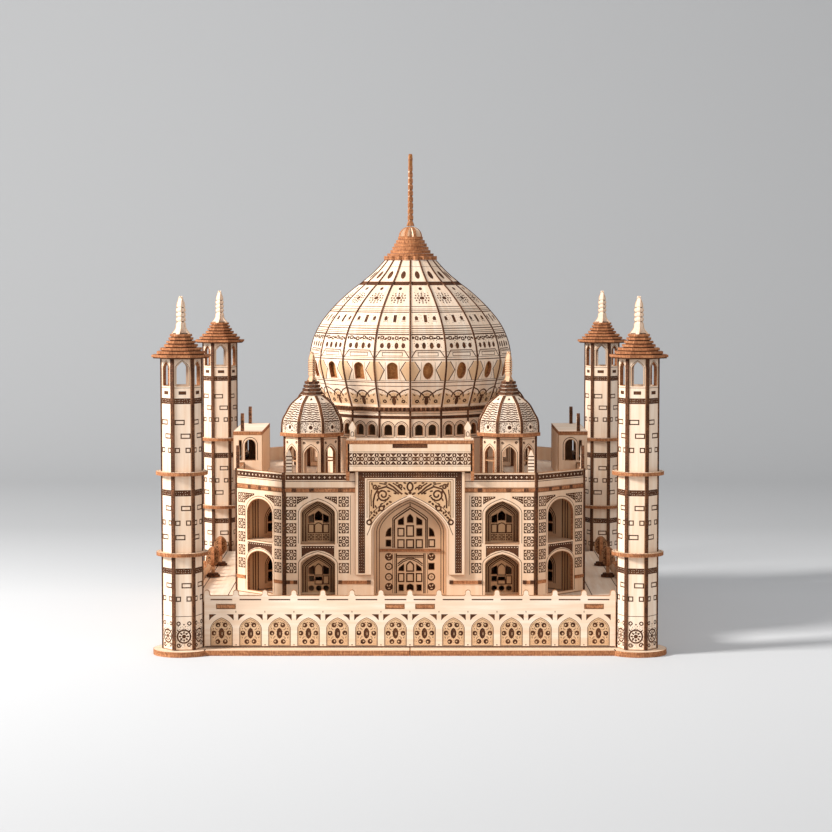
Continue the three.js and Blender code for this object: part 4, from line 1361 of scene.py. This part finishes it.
def pinnacle(piece, at, foot, tip, face):
    """A lantern-topped post: one board with a waist and a pointed cap."""
    tall = tip - foot
    profile = [(2.1, 0.0), (2.1, tall * 0.12), (1.5, tall * 0.18), (1.5, tall * 0.5), (2.1, tall * 0.56),
               (2.1, tall * 0.68), (1.3, tall * 0.84), (0.6, tall * 0.95), (0, tall)]
    outline = [(x, foot + z) for x, z in profile]
    outline += [(-x, z) for x, z in reversed(outline) if x > 0]
    centre = (at, -face + PLY / 2)
    window = [border(arch(0, 0.8, foot + 2, foot + tall * 0.34, foot + tall * 0.43, 0.3, 4), 0.3)]
    piece.add(standing(PLY / 2, 0.0, centre), outline, marks=window, edge=CHAR, tone=0.8)


# ------------------------------------------------------------------ drum and main dome

GORES = 18
HALF_GORE = math.pi / GORES
DRUM_RADIUS = box("drum")[1][1]
DRUM_FOOT = box("drum")[0][2]
DRUM_TOP = box("drum")[1][2]
DOME_FOOT = box("main_dome")[0][2]
DOME_PROFILE = [
    (54.3, 134.1), (58.6, 145.4), (61.9, 157.2), (62.2, 162.4), (61, 169.8), (59, 176), (55.8, 182.3),
    (51.1, 188.6), (45.2, 195), (37, 202.4), (30.4, 207.4), (22.6, 213.9), (15.7, 221.2),
]


def drum():
    piece = Piece(seed=31, tones=(0.55, 0.9))
    face = DRUM_RADIUS * math.cos(HALF_GORE)
    half = DRUM_RADIUS * math.sin(HALF_GORE) - PLY * math.tan(HALF_GORE)
    sill, spring, crown = 117.5, 121.7, 123.9
    holes = [arch(x, 2.3, sill, spring, crown, 0.15, 8) for x in (-4, 4)]
    marks = []
    for x in (-4, 4):
        for grow, width in ((0.8, 0.18), (1.6, 0.36)):
            frame_line = arch_line(x, 2.3 + grow, sill - 0.8, spring + 0.2, crown + grow * 1.1, 0.12, 8)
            marks.append(line(frame_line, width))
        marks.append(level_line(x - 3.4, x + 3.4, sill - 1.2, 0.2))
    marks.append(level_line(-half, half, 128.1, 1.5))
    marks.append(level_line(-half, half, 114.8, 0.3))
    marks.append(level_line(-half, half, 130.4, 0.2))
    for i in range(GORES):
        angle = (2 * i + 1) * HALF_GORE
        piece.add(standing(face, angle), rect(-half, half, DRUM_FOOT, DRUM_TOP), holes, marks)
        rib = standing(DRUM_RADIUS + 0.25, angle + HALF_GORE)
        piece.add(rib, rect(-0.6, 0.6, DRUM_FOOT, DRUM_TOP), thickness=2.2, face=CHAR, edge=CHAR)
    return piece


def catmull_rom(p0, p1, p2, p3, t):
    """A value between p1 and p2, on a smooth curve that runs through all four."""
    return 0.5 * (2 * p1 + (p2 - p0) * t
                  + (2 * p0 - 5 * p1 + 4 * p2 - p3) * t * t
                  + (3 * p1 - p0 - 3 * p2 + p3) * t ** 3)


def smooth_profile(points, steps):
    """A smooth line through [radius, height] points, with its length from the foot at each sample."""
    samples = []
    padded = [points[0], *points, points[-1]]
    for i in range(1, len(padded) - 2):
        p0, p1, p2, p3 = padded[i - 1:i + 3]
        for step in range(steps):
            t = step / steps
            samples.append(tuple(catmull_rom(*ends, t) for ends in zip(p0, p1, p2, p3)))
    samples.append(points[-1])
    lengths = [0.0]
    for a, b in zip(samples, samples[1:]):
        lengths.append(lengths[-1] + math.dist(a, b))
    return samples, lengths


class Curve:
    """The meridian of a dome made of flat-sided gores: everything is measured along its length."""

    def __init__(self, points, sides, steps):
        self.samples, self.lengths = smooth_profile(points, steps)
        self.half_angle = math.pi / sides

    def at(self, length):
        """Radius to the corners, height, and the slope of the meridian there."""
        last = len(self.samples) - 2
        i = 0
        while i < last and self.lengths[i + 1] < length:
            i += 1
        span = self.lengths[i + 1] - self.lengths[i]
        t = (length - self.lengths[i]) / span
        a, b = self.samples[i], self.samples[i + 1]
        before = self.samples[max(i - 1, 0)]
        after = self.samples[min(i + 2, last + 1)]
        start = (b[0] - before[0], b[1] - before[1])
        end = (after[0] - a[0], after[1] - a[1])
        slope = [start[k] / math.hypot(*start) * (1 - t) + end[k] / math.hypot(*end) * t for k in (0, 1)]
        return a[0] + (b[0] - a[0]) * t, a[1] + (b[1] - a[1]) * t, slope

    def length_at(self, height):
        for (a, b), la, lb in zip(zip(self.samples, self.samples[1:]), self.lengths, self.lengths[1:]):
            if a[1] <= height <= b[1]:
                return la + (lb - la) * (height - a[1]) / (b[1] - a[1])
        return 0.0 if height < self.samples[0][1] else self.lengths[-1]

    def half_width(self, length, margin):
        return self.at(length)[0] * math.sin(self.half_angle) - margin

    def outline(self, margin):
        right = [(self.half_width(s, margin), s) for s in self.lengths]
        return right + [(-x, s) for x, s in reversed(right)]

    def rows(self, margin):
        """A line across the gore at every sample, on which it bends."""
        halves = [(self.half_width(s, margin), s) for s in self.lengths[1:-1]]
        return [((-half, s), (half, s)) for half, s in halves]

    def gore(self, angle):
        """Places a gore: flat across, bent along the meridian."""
        flat = math.cos(self.half_angle)
        def place(u, v, w):
            radius, height, slope = self.at(v)
            out, up = slope[1], -slope[0]
            return (*turned(u, -(radius * flat - w * out), angle), height - w * up)
        return place

    def rib(self, angle, proud):
        """Places a rib over the seam between two gores."""
        def place(u, v, w):
            radius, height, slope = self.at(v)
            reach = radius + (proud - w) * slope[1]
            return (*turned(u, -reach, angle), height + (proud - w) * -slope[0])
        return place


def gore_marks(curve, source):
    """The engraving of one gore of the main dome, by height, from its foot to its crown."""
    marks = []

    def s(height):
        return curve.length_at(height)

    def half(height, margin=0.7):
        return curve.half_width(s(height), margin)

    def full_line(height, width):
        marks.append(level_line(-half(height), half(height), s(height), width))

    # a plant under a bracket, between two rings
    for x in (-5.6, 5.6):
        marks.append([circle(x, s(137.8), 1.25, 10), circle(x, s(137.8), 0.42, 6)])
    marks.append(solid(petal(0, s(138.0), 5.6, 2.6, QUARTER, 5)))
    marks.append(solid(middle_rect(0, s(140.4), 3.8, 1.3)))
    marks.append(line([(-4.2, s(140.2)), (-3.5, s(142.4)), (-1.7, s(143.8)), (0, s(144.2)), (1.7, s(143.8)),
                       (3.5, s(142.4)), (4.2, s(140.2))], 0.7))
    for side in (-1, 1):
        wide = half(144)
        branch = [(3.6, s(142.6)), (wide * 0.6, s(144.2)), (wide, s(145.4))]
        marks.append(line([(side * x, y) for x, y in branch], 0.6))
        marks.append(solid(petal(side * 2.3, s(141.7), 2.2, 1.0, side * 0.8, 3)))
        marks.append(solid(petal(side * 2.0, s(139.0), 1.9, 0.8, side * 2.2, 3)))
        marks.append(solid(petal(side * (wide - 1.9), s(141.6), 1.8, 0.8, side * 0.7, 3)))
    full_line(146.9, 0.34)
    full_line(149.2, 0.4)
    # half hexagons on both sides of the window, meeting at the ribs
    for side in (-1, 1):
        wide = half(155.6)
        marks.append(line([(side * (wide - 1.9), s(150.1)), (side * (wide - 5.2), s(156.6)),
                           (side * (wide - 1.9), s(161.6))], 0.42))
        marks.append(line([(side * 4.4, s(150.6)), (side * 4.1, s(161.2))], 0.16))
    full_line(150.2, 0.2)
    # a banner over the window
    for height, width in ((162.6, 0.42), (164.0, 0.2), (167.3, 0.2)):
        full_line(height, width)
    wide = half(166)
    foot, top = s(164.0), s(168.2)
    marks.append(line([(-wide, foot), (-wide * 0.72, top), (wide * 0.72, top), (wide, foot)], 0.42))
    marks.append(border(rect(-wide * 0.6, wide * 0.6, s(164.9), s(166.8)), 0.28))
    # circles and slots, with a run of small ornaments over them
    for x in (-6.4, -2.3, 2.3, 6.4):
        high = 1.6 if abs(x) > 4 else 2.0
        marks.append(solid(ellipse(x, s(170.9), 1.2, high, 10)))
    for i in range(9):
        x = (i - 4) * 2.15
        y = s(175.3) + source.uniform(-0.4, 0.4)
        if i % 2:
            marks.append(ring(x, y, 0.95, 0.55, 7))
        else:
            marks.append(solid(petal(x, y, 2.2, 1.4, source.uniform(0, 3), 3)))
        marks.append(solid(circle(x + 1.1, y - 1.1, 0.3, 4)))
        marks.append(solid(circle(x - 1.0, y + 1.2, 0.28, 4)))
    for height, width in ((177.4, 0.62), (178.6, 0.3), (179.6, 0.3), (181.0, 0.46), (182.4, 0.3)):
        full_line(height, width)
    for x in (-5.4, 5.4):
        marks.append(solid(arch(x, 0.95, s(185.8), s(187.0), s(188.2), 0.0, 4)))
        marks.append(line([(x - 1.5, s(185.2)), (x + 1.5, s(185.2))], 0.24))
    marks.append(solid(middle_rect(0, s(186.7), 1.9, 5.4)))
    for height, width in ((190.4, 0.55), (191.4, 0.3), (192.3, 0.3), (193.7, 0.4)):
        full_line(height, width)
    # a dotted rosette, a drop, a dark band and a leaf
    middle = s(198.7)
    marks.append(solid(circle(0, middle, 1.5, 9)))
    for count, reach, size in ((8, 2.6, 0.7), (12, 4.2, 0.62)):
        for i in range(count):
            a = TAU * i / count
            marks.append(solid(circle(reach * math.cos(a), middle + reach * math.sin(a), size, 5)))
    marks.append(solid(petal(0, s(204.2), 3.0, 2.2, QUARTER, 4)))
    wide = half(207.4, 0.5)
    marks.append(solid(rect(-wide, wide, s(206.2), s(208.4))))
    marks.append(solid(petal(0, s(212.3), 7.2, 3.0, QUARTER, 5)))
    full_line(217.4, 0.2)
    # soot flecks thrown about the burnt rows
    for low, high, count in ((136.4, 144.6, 30), (169.4, 176.6, 34), (183.4, 189.4, 26),
                             (195.2, 202.6, 34)):
        wide = min(half(low, 1.6), half(high, 1.6))
        marks += speckle(source, -wide, wide, s(low), s(high), count, 0.26)
    return marks


def dome_ring(piece):
    """The notched sheet that the gores stand on."""
    top = DOME_PROFILE[0][1]
    outer = []
    teeth = GORES * 14
    for i in range(teeth):
        a = QUARTER + TAU * i / teeth
        reach = 56.2 if i % 2 else 55.3
        flat = math.cos(HALF_GORE) / math.cos((a - QUARTER) % (2 * HALF_GORE) - HALF_GORE)
        outer.append((reach * flat * math.cos(a), reach * flat * math.sin(a)))
    piece.add(lying(top), outer, [circle(0, 0, 50, GORES)], thickness=top - DOME_FOOT, edge=CHAR)


def rib_strip(piece, curve, angle, half, proud, thickness=2.0):
    """A charred rib over the seam between two gores."""
    inner = curve.lengths[1:-1]
    end = curve.lengths[-1]
    right = [(half, 0.0), *[(half, s) for s in inner], (half, end)]
    outline = right + [(-x, s) for x, s in reversed(right)]
    rows = [((-half, s), (half, s)) for s in inner]
    piece.add(curve.rib(angle, proud), outline, rows=rows, thickness=thickness, face=CHAR, edge=CHAR)


def main_dome():
    piece = Piece(seed=32, tones=(0.80, 0.98))
    curve = Curve(DOME_PROFILE, GORES, 3)
    margin = 0.3
    dome_ring(piece)
    low, high = curve.length_at(151.2), curve.length_at(161.0)
    for i in range(GORES):
        angle = (2 * i + 1) * HALF_GORE
        if math.sin(angle) < 0:
            window = arch(0, 3.1, low, high - 2.6, high, 0.1, 7)
        else:
            window = ellipse(0, (low + high) / 2, 3.0, (high - low) / 2, 16)
        wide = curve.half_width(curve.length_at(156), margin)
        hexagon = [(wide, low - 1.2), (wide - 1.9, low - 1.2), (wide - 5.2, (low + high) / 2),
                   (wide - 1.9, high + 0.6), (wide, high + 0.6)]
        tints = [[(side * x, y) for x, y in hexagon] for side in (-1, 1)]
        foot, top = curve.length_at(135.8), curve.length_at(143.0)
        broad, narrow = curve.half_width(top, 1.0), curve.half_width(foot, 1.0)
        tints.append([(-narrow, foot), (narrow, foot), (broad, top), (4.4, top - 1.6), (0, top + 0.4),
                      (-4.4, top - 1.6), (-broad, top)])
        gore = curve.gore(angle)
        marks = gore_marks(curve, piece.random)
        piece.add(gore, curve.outline(margin), [window], marks, rows=curve.rows(margin), tints=tints,
                  scorch=0.24)
        piece.add(set_back(gore, PLY + 0.2), rect(-4.6, 4.6, low - 1.5, high + 1.5), thickness=1.0,
                  face=AMBER, edge=AMBER)
        rib_strip(piece, curve, angle + HALF_GORE, 0.5, 0.3)
    return piece


def set_back(place, distance):
    """The same place, further behind the face."""
    def behind(u, v, w):
        return place(u, v, w + distance)
    return behind


def dome_collar():
    """The stepped crown: a notched disc, five smaller discs, and crossed half discs above them."""
    low, high = box("dome_collar")
    piece = Piece(seed=33)
    foot = low[2]
    teeth = []
    for i in range(GORES * 4):
        a = TAU * i / (GORES * 4)
        reach = 16.2 if i % 4 in (0, 1) else 14.9
        teeth.append((reach * math.cos(a), reach * math.sin(a)))
    piece.add(lying(foot + 2.4), teeth, thickness=2.4, face=EDGE)
    piece.add(lying(foot + 4.0), circle(0, 0, 14.2, 36), thickness=1.5)
    level = foot + 4.0
    for radius in (12.3, 11.1, 10, 8.8, 7.6):
        piece.add(lying(level + 2.04), circle(0, 0, radius, 36), thickness=1.9)
        level += 2.04
    top = high[2]
    for i in range(4):
        a = math.pi / 4 * i
        angles = [math.pi * step / 16 for step in range(17)]
        outline = [(7.3 * math.cos(t), level + (top - level) * math.sin(t)) for t in angles]
        piece.add(standing(PLY / 2, a + math.pi / 8), outline)
    return piece


def spire():
    """Two crossed boards with banded bulges and a rounded tip."""
    low, high = box("spire")
    foot, tip = low[2], high[2]
    tall = tip - foot
    profile = [(2.3, foot), (1.5, foot + 0.05 * tall)]
    bands = []
    count = 9
    for i in range(count):
        height = foot + tall * (0.07 + 0.085 * i)
        size = 1.5 - 0.05 * i
        profile.append((size * 0.74, height))
        profile.append((size, height + 0.02 * tall))
        profile.append((size, height + 0.065 * tall))
        bands.append(level_line(-size, size, height + 0.006 * tall, 0.9))
    profile += [(0.85, foot + 0.86 * tall), (1.1, foot + 0.93 * tall), (0.8, foot + 0.98 * tall), (0, tip)]
    piece = Piece(seed=34, tones=(0.3, 0.4))
    outline = profile + [(-x, z) for x, z in reversed(profile) if x > 0]
    for place in (standing(PLY / 2, math.radians(20)), across(0, PLY, math.radians(20))):
        piece.add(place, outline, marks=bands, face=AMBER)
    return piece


# ------------------------------------------------------------------ roof kiosks

KIOSK_LOW, KIOSK_HIGH = box("kiosk_pavilion_front_right")
KIOSK_AT = (KIOSK_LOW[0] + KIOSK_HIGH[0]) / 2
KIOSK_HALF = (KIOSK_HIGH[0] - KIOSK_LOW[0]) / 2
KIOSK_TOP = KIOSK_HIGH[2]
SHELL_PROFILE = [(17.6, 0), (17.5, 4.4), (16.8, 8.1), (15.1, 11.2), (12.1, 16.5), (6.4, 21.4)]


def kiosk_pavilion():
    piece = Piece(seed=41, tones=(0.4, 0.6))
    corner = KIOSK_HALF / math.cos(math.pi / 8)
    half = corner * math.sin(math.pi / 8) - PLY * math.tan(math.pi / 8)
    foot = KIOSK_LOW[2]
    spring, crown = KIOSK_TOP - 10, KIOSK_TOP - 5.4
    door = arch(0, 3.8, foot + 3, spring, crown, 0.4, 8)
    marks = [line(arch_line(0, 4.7, foot + 2.4, spring + 0.4, crown + 1.3, 0.4, 8), 0.26)]
    for side in (-1, 1):
        marks.append(swirl(side * 4.0, KIOSK_TOP - 3.2, 0.8, 1.2, 0.0, side, 0.45, 8))
    marks.append(level_line(-half, half, KIOSK_TOP - 1.2, 0.2))
    for i in range(8):
        angle = i * TAU / 8
        piece.add(standing(KIOSK_HALF, angle), rect(-half, half, foot, KIOSK_TOP), [door], marks)
        if i % 2:
            bar = rect(-3.8, 3.8, spring - 4.4, spring - 3.6)
            piece.add(standing(KIOSK_HALF - 0.4, angle), bar, thickness=1.0, face=SCORCHED, edge=EDGE)
        rib = standing(corner + 0.25, angle + math.pi / 8)
        piece.add(rib, rect(-RIB / 2, RIB / 2, foot, KIOSK_TOP), thickness=2.6, face=CHAR, edge=CHAR)
    return piece


def kiosk_gore_marks(curve, source):
    """Flecks round a dark hole at the foot of a gore, wavy courses above it, and a drop at the top."""
    marks = [solid(circle(0, 3.5, 1.2, 12))]
    flecks = speckle(source, -6.1, 6.1, 0.6, 6.4, 120, 0.36)
    marks += [fleck for fleck in flecks if math.hypot(fleck[0][0][0], fleck[0][0][1] - 3.5) > 2.0]
    courses = 9
    for i in range(courses):
        s = 7.0 + 1.5 * i
        wide = curve.half_width(s, 1.3)
        swing, width = (0.22, 0.52) if i else (0.05, 0.64)
        marks.append(wavy_line(-wide, wide, s, swing, max(1, round(wide / 2.0)), width))
        if i < courses - 1:
            marks += speckle(source, -wide + 0.4, wide - 0.4, s + 0.5, s + 1.0, round(wide * 1.5), 0.25)
    top = curve.lengths[-1]
    marks.append(solid([(-0.9, top - 4.0), (0.9, top - 4.0), (0, top - 1.6)]))
    return marks


def kiosk_dome():
    low, high = box("kiosk_dome_front_right")
    piece = Piece(seed=42, tones=(0.9, 1.0))
    eave = low[2]
    springing = eave + PLY
    half_width = (high[0] - low[0]) / 2
    piece.add(lying(springing), octagon(half_width), [octagon(13.5)])
    corners = [(half / math.cos(math.pi / 8), springing + z) for half, z in SHELL_PROFILE]
    curve = Curve(corners, 8, 4)
    margin = 0.8
    for i in range(8):
        angle = i * TAU / 8
        marks = kiosk_gore_marks(curve, piece.random)
        piece.add(curve.gore(angle), curve.outline(margin), marks=marks, rows=curve.rows(margin))
        rib_strip(piece, curve, angle + math.pi / 8, 0.75, 0.2, 2.0)
    tiers = (6.3, 5.5, 4.9, 4.3)
    level = stepped_tiers(piece, tiers, springing + SHELL_PROFILE[-1][1], 2.08, plate=CHAR, spacer=FACE)
    finial(piece, level - 0.1, high[2], 3.2, 2.0, 5, 0.2)
    return piece


# ------------------------------------------------------------------ assembly

def at_sides(name, piece):
    for side, angle in SIDES.items():
        piece.build(f"visual_{name}_{side}", f"{name}_{side}", "wood_sheet", angle)


def at_corners(name, piece, at, slot="wood_sheet", toe_in=0.0, smooth=False):
    for corner, (x, y) in CORNERS.items():
        piece.build(f"visual_{name}_{corner}", f"{name}_{corner}", slot, -x * toe_in, (x * at, y * at),
                    smooth)


right_half = base_half()
right_half.build("visual_base_right", "base_right", "base_sheet")
right_half.build("visual_base_left", "base_left", "base_sheet", math.pi)
deck().build("visual_terrace_deck", "terrace_deck", "wood_sheet")
front_wall_end = box("terrace_wall_front")[1][0]
side_wall_end = box("terrace_wall_right")[1][1]
for side, angle in SIDES.items():
    wall = terrace_wall(front_wall_end if side in ("front", "back") else side_wall_end)
    wall.build(f"visual_terrace_wall_{side}", f"terrace_wall_{side}", "wood_sheet", angle)
at_sides("hall_wall", hall_wall())
at_sides("hall_screen", hall_screen())
at_sides("portal", portal())
hall_roof().build("visual_hall_roof", "hall_roof", "wood_sheet")
hall_parapet().build("visual_hall_parapet", "hall_parapet", "wood_sheet")
niche = corner_niche()
for i, corner in enumerate(CORNERS):
    angle = QUARTER / 2 + QUARTER * i
    niche.build(f"visual_corner_niche_{corner}", f"corner_niche_{corner}", "wood_sheet", angle)
at_corners("kiosk_pavilion", kiosk_pavilion(), KIOSK_AT)
at_corners("kiosk_dome", kiosk_dome(), KIOSK_AT, smooth=True)
at_corners("tower_shaft", tower_shaft(), TOWER_AT, toe_in=TOE_IN)
balcony_radius = box("tower_lower_balcony_front_right")[1][0] - TOWER_AT
for floor, seed in (("lower", 51), ("upper", 52)):
    top = box(f"tower_{floor}_balcony_front_right")[1][2]
    plate = balcony(balcony_radius, top, seed)
    at_corners(f"tower_{floor}_balcony", plate, TOWER_AT, "charred_edge", TOE_IN)
at_corners("tower_roof", tower_roof(), TOWER_AT, "charred_edge")
small_tree = tree()
for corner in CORNERS:
    low, high = box(f"tree_{corner}")
    centre = ((low[0] + high[0]) / 2, (low[1] + high[1]) / 2)
    small_tree.build(f"visual_tree_{corner}", f"tree_{corner}", "wood_sheet", 0.0, centre)
drum().build("visual_drum", "drum", "wood_sheet")
main_dome().build("visual_main_dome", "main_dome", "wood_sheet", smooth=True)
dome_collar().build("visual_dome_collar", "dome_collar", "charred_edge")
spire().build("visual_spire", "spire", "charred_edge")


# ------------------------------------------------------------------ studio

def paper():
    """Matt paper with a painted pool of light: palest round the model, and darker in front of it and further
    back as painted shade.
    """
    material = bpy.data.materials.new("backdrop_paper")
    material.use_nodes = True
    tree = material.node_tree
    place = tree.nodes.new("ShaderNodeTexCoord")
    split = tree.nodes.new("ShaderNodeSeparateXYZ")
    depth = tree.nodes.new("ShaderNodeMapRange")
    near, far = -1.0, 1.0
    depth.inputs["From Min"].default_value = near
    depth.inputs["From Max"].default_value = far
    ramp = tree.nodes.new("ShaderNodeValToRGB")
    # the grey ramp along Y paints the light's fall-off over the sweep
    stops = ((-0.55, 0.49), (-0.15, 0.60), (0.10, 0.60), (0.25, 0.53), (0.50, 0.43), (0.90, 0.41))
    elements = ramp.color_ramp.elements
    while len(elements) < len(stops):
        elements.new(0.5)
    for element, (y, grey) in zip(elements, stops):
        element.position = (y - near) / (far - near)
        element.color = (grey * 0.965, grey * 0.995, grey * 1.04, 1.0)
    surface = tree.nodes["Principled BSDF"]
    surface.inputs["Roughness"].default_value = 0.9
    surface.inputs["Specular IOR Level"].default_value = 0.1
    tree.links.new(place.outputs["Object"], split.inputs["Vector"])
    tree.links.new(split.outputs["Y"], depth.inputs["Value"])
    tree.links.new(depth.outputs["Result"], ramp.inputs["Fac"])
    tree.links.new(ramp.outputs["Color"], surface.inputs["Base Color"])
    return material


def backdrop():
    """A pale floor that curves up into a wall behind the model."""
    front, back, wide, tall = -3.0, 1.6, 4.0, 3.0
    bend = 0.7
    profile = [(front, 0.0)]
    for step in range(17):
        a = QUARTER * step / 16
        profile.append((back - bend + bend * math.sin(a), bend - bend * math.cos(a)))
    profile.append((back, tall))
    points = [(side * wide, y, z) for y, z in profile for side in (-1, 1)]
    faces = [(2 * i, 2 * i + 1, 2 * i + 3, 2 * i + 2) for i in range(len(profile) - 1)]
    mesh = bpy.data.meshes.new("backdrop")
    mesh.from_pydata(points, [], faces)
    mesh.polygons.foreach_set("use_smooth", [True] * len(mesh.polygons))
    mesh.materials.append(paper())
    sweep = bpy.data.objects.new("backdrop", mesh)
    bpy.context.scene.collection.objects.link(sweep)


def aim(thing, target):
    direction = Vector(target) - thing.location
    thing.rotation_euler = direction.to_track_quat("-Z", "Y").to_euler()


def area_light(name, location, target, size, power, colour):
    light = bpy.data.lights.new(name, "AREA")
    light.shape = "RECTANGLE"
    light.size, light.size_y = size
    light.energy = power
    light.color = colour
    lamp = bpy.data.objects.new(name, light)
    lamp.location = location
    bpy.context.scene.collection.objects.link(lamp)
    aim(lamp, target)


def lighting():
    world = bpy.data.worlds.new("studio")
    world.use_nodes = True
    background = world.node_tree.nodes["Background"]
    background.inputs["Color"].default_value = (1.0, 0.985, 0.97, 1.0)
    background.inputs["Strength"].default_value = 0.46
    bpy.context.scene.world = world
    middle = (0.0, 0.0, 0.12)
    area_light("key", (-1.75, -0.75, 1.05), middle, (0.45, 0.45), 80, (1.0, 0.965, 0.915))
    area_light("fill", (0.9, -1.9, 1.0), middle, (1.6, 1.2), 12, (1.0, 0.96, 0.92))
    area_light("top", (0.0, 0.3, 2.0), middle, (1.6, 1.6), 7, (1.0, 0.98, 0.96))


def camera():
    lens = bpy.data.cameras.new("view")
    lens.lens = 100.2
    lens.sensor_width = 36.0
    eye = bpy.data.objects.new("view", lens)
    eye.location = (0.0034, -1.423, 0.219)
    eye.rotation_euler = (math.radians(90 - 3.757), 0.0, 0.0)
    bpy.context.scene.collection.objects.link(eye)
    bpy.context.scene.camera = eye


backdrop()
lighting()
camera()
bpy.context.scene.view_settings.view_transform = "Standard"
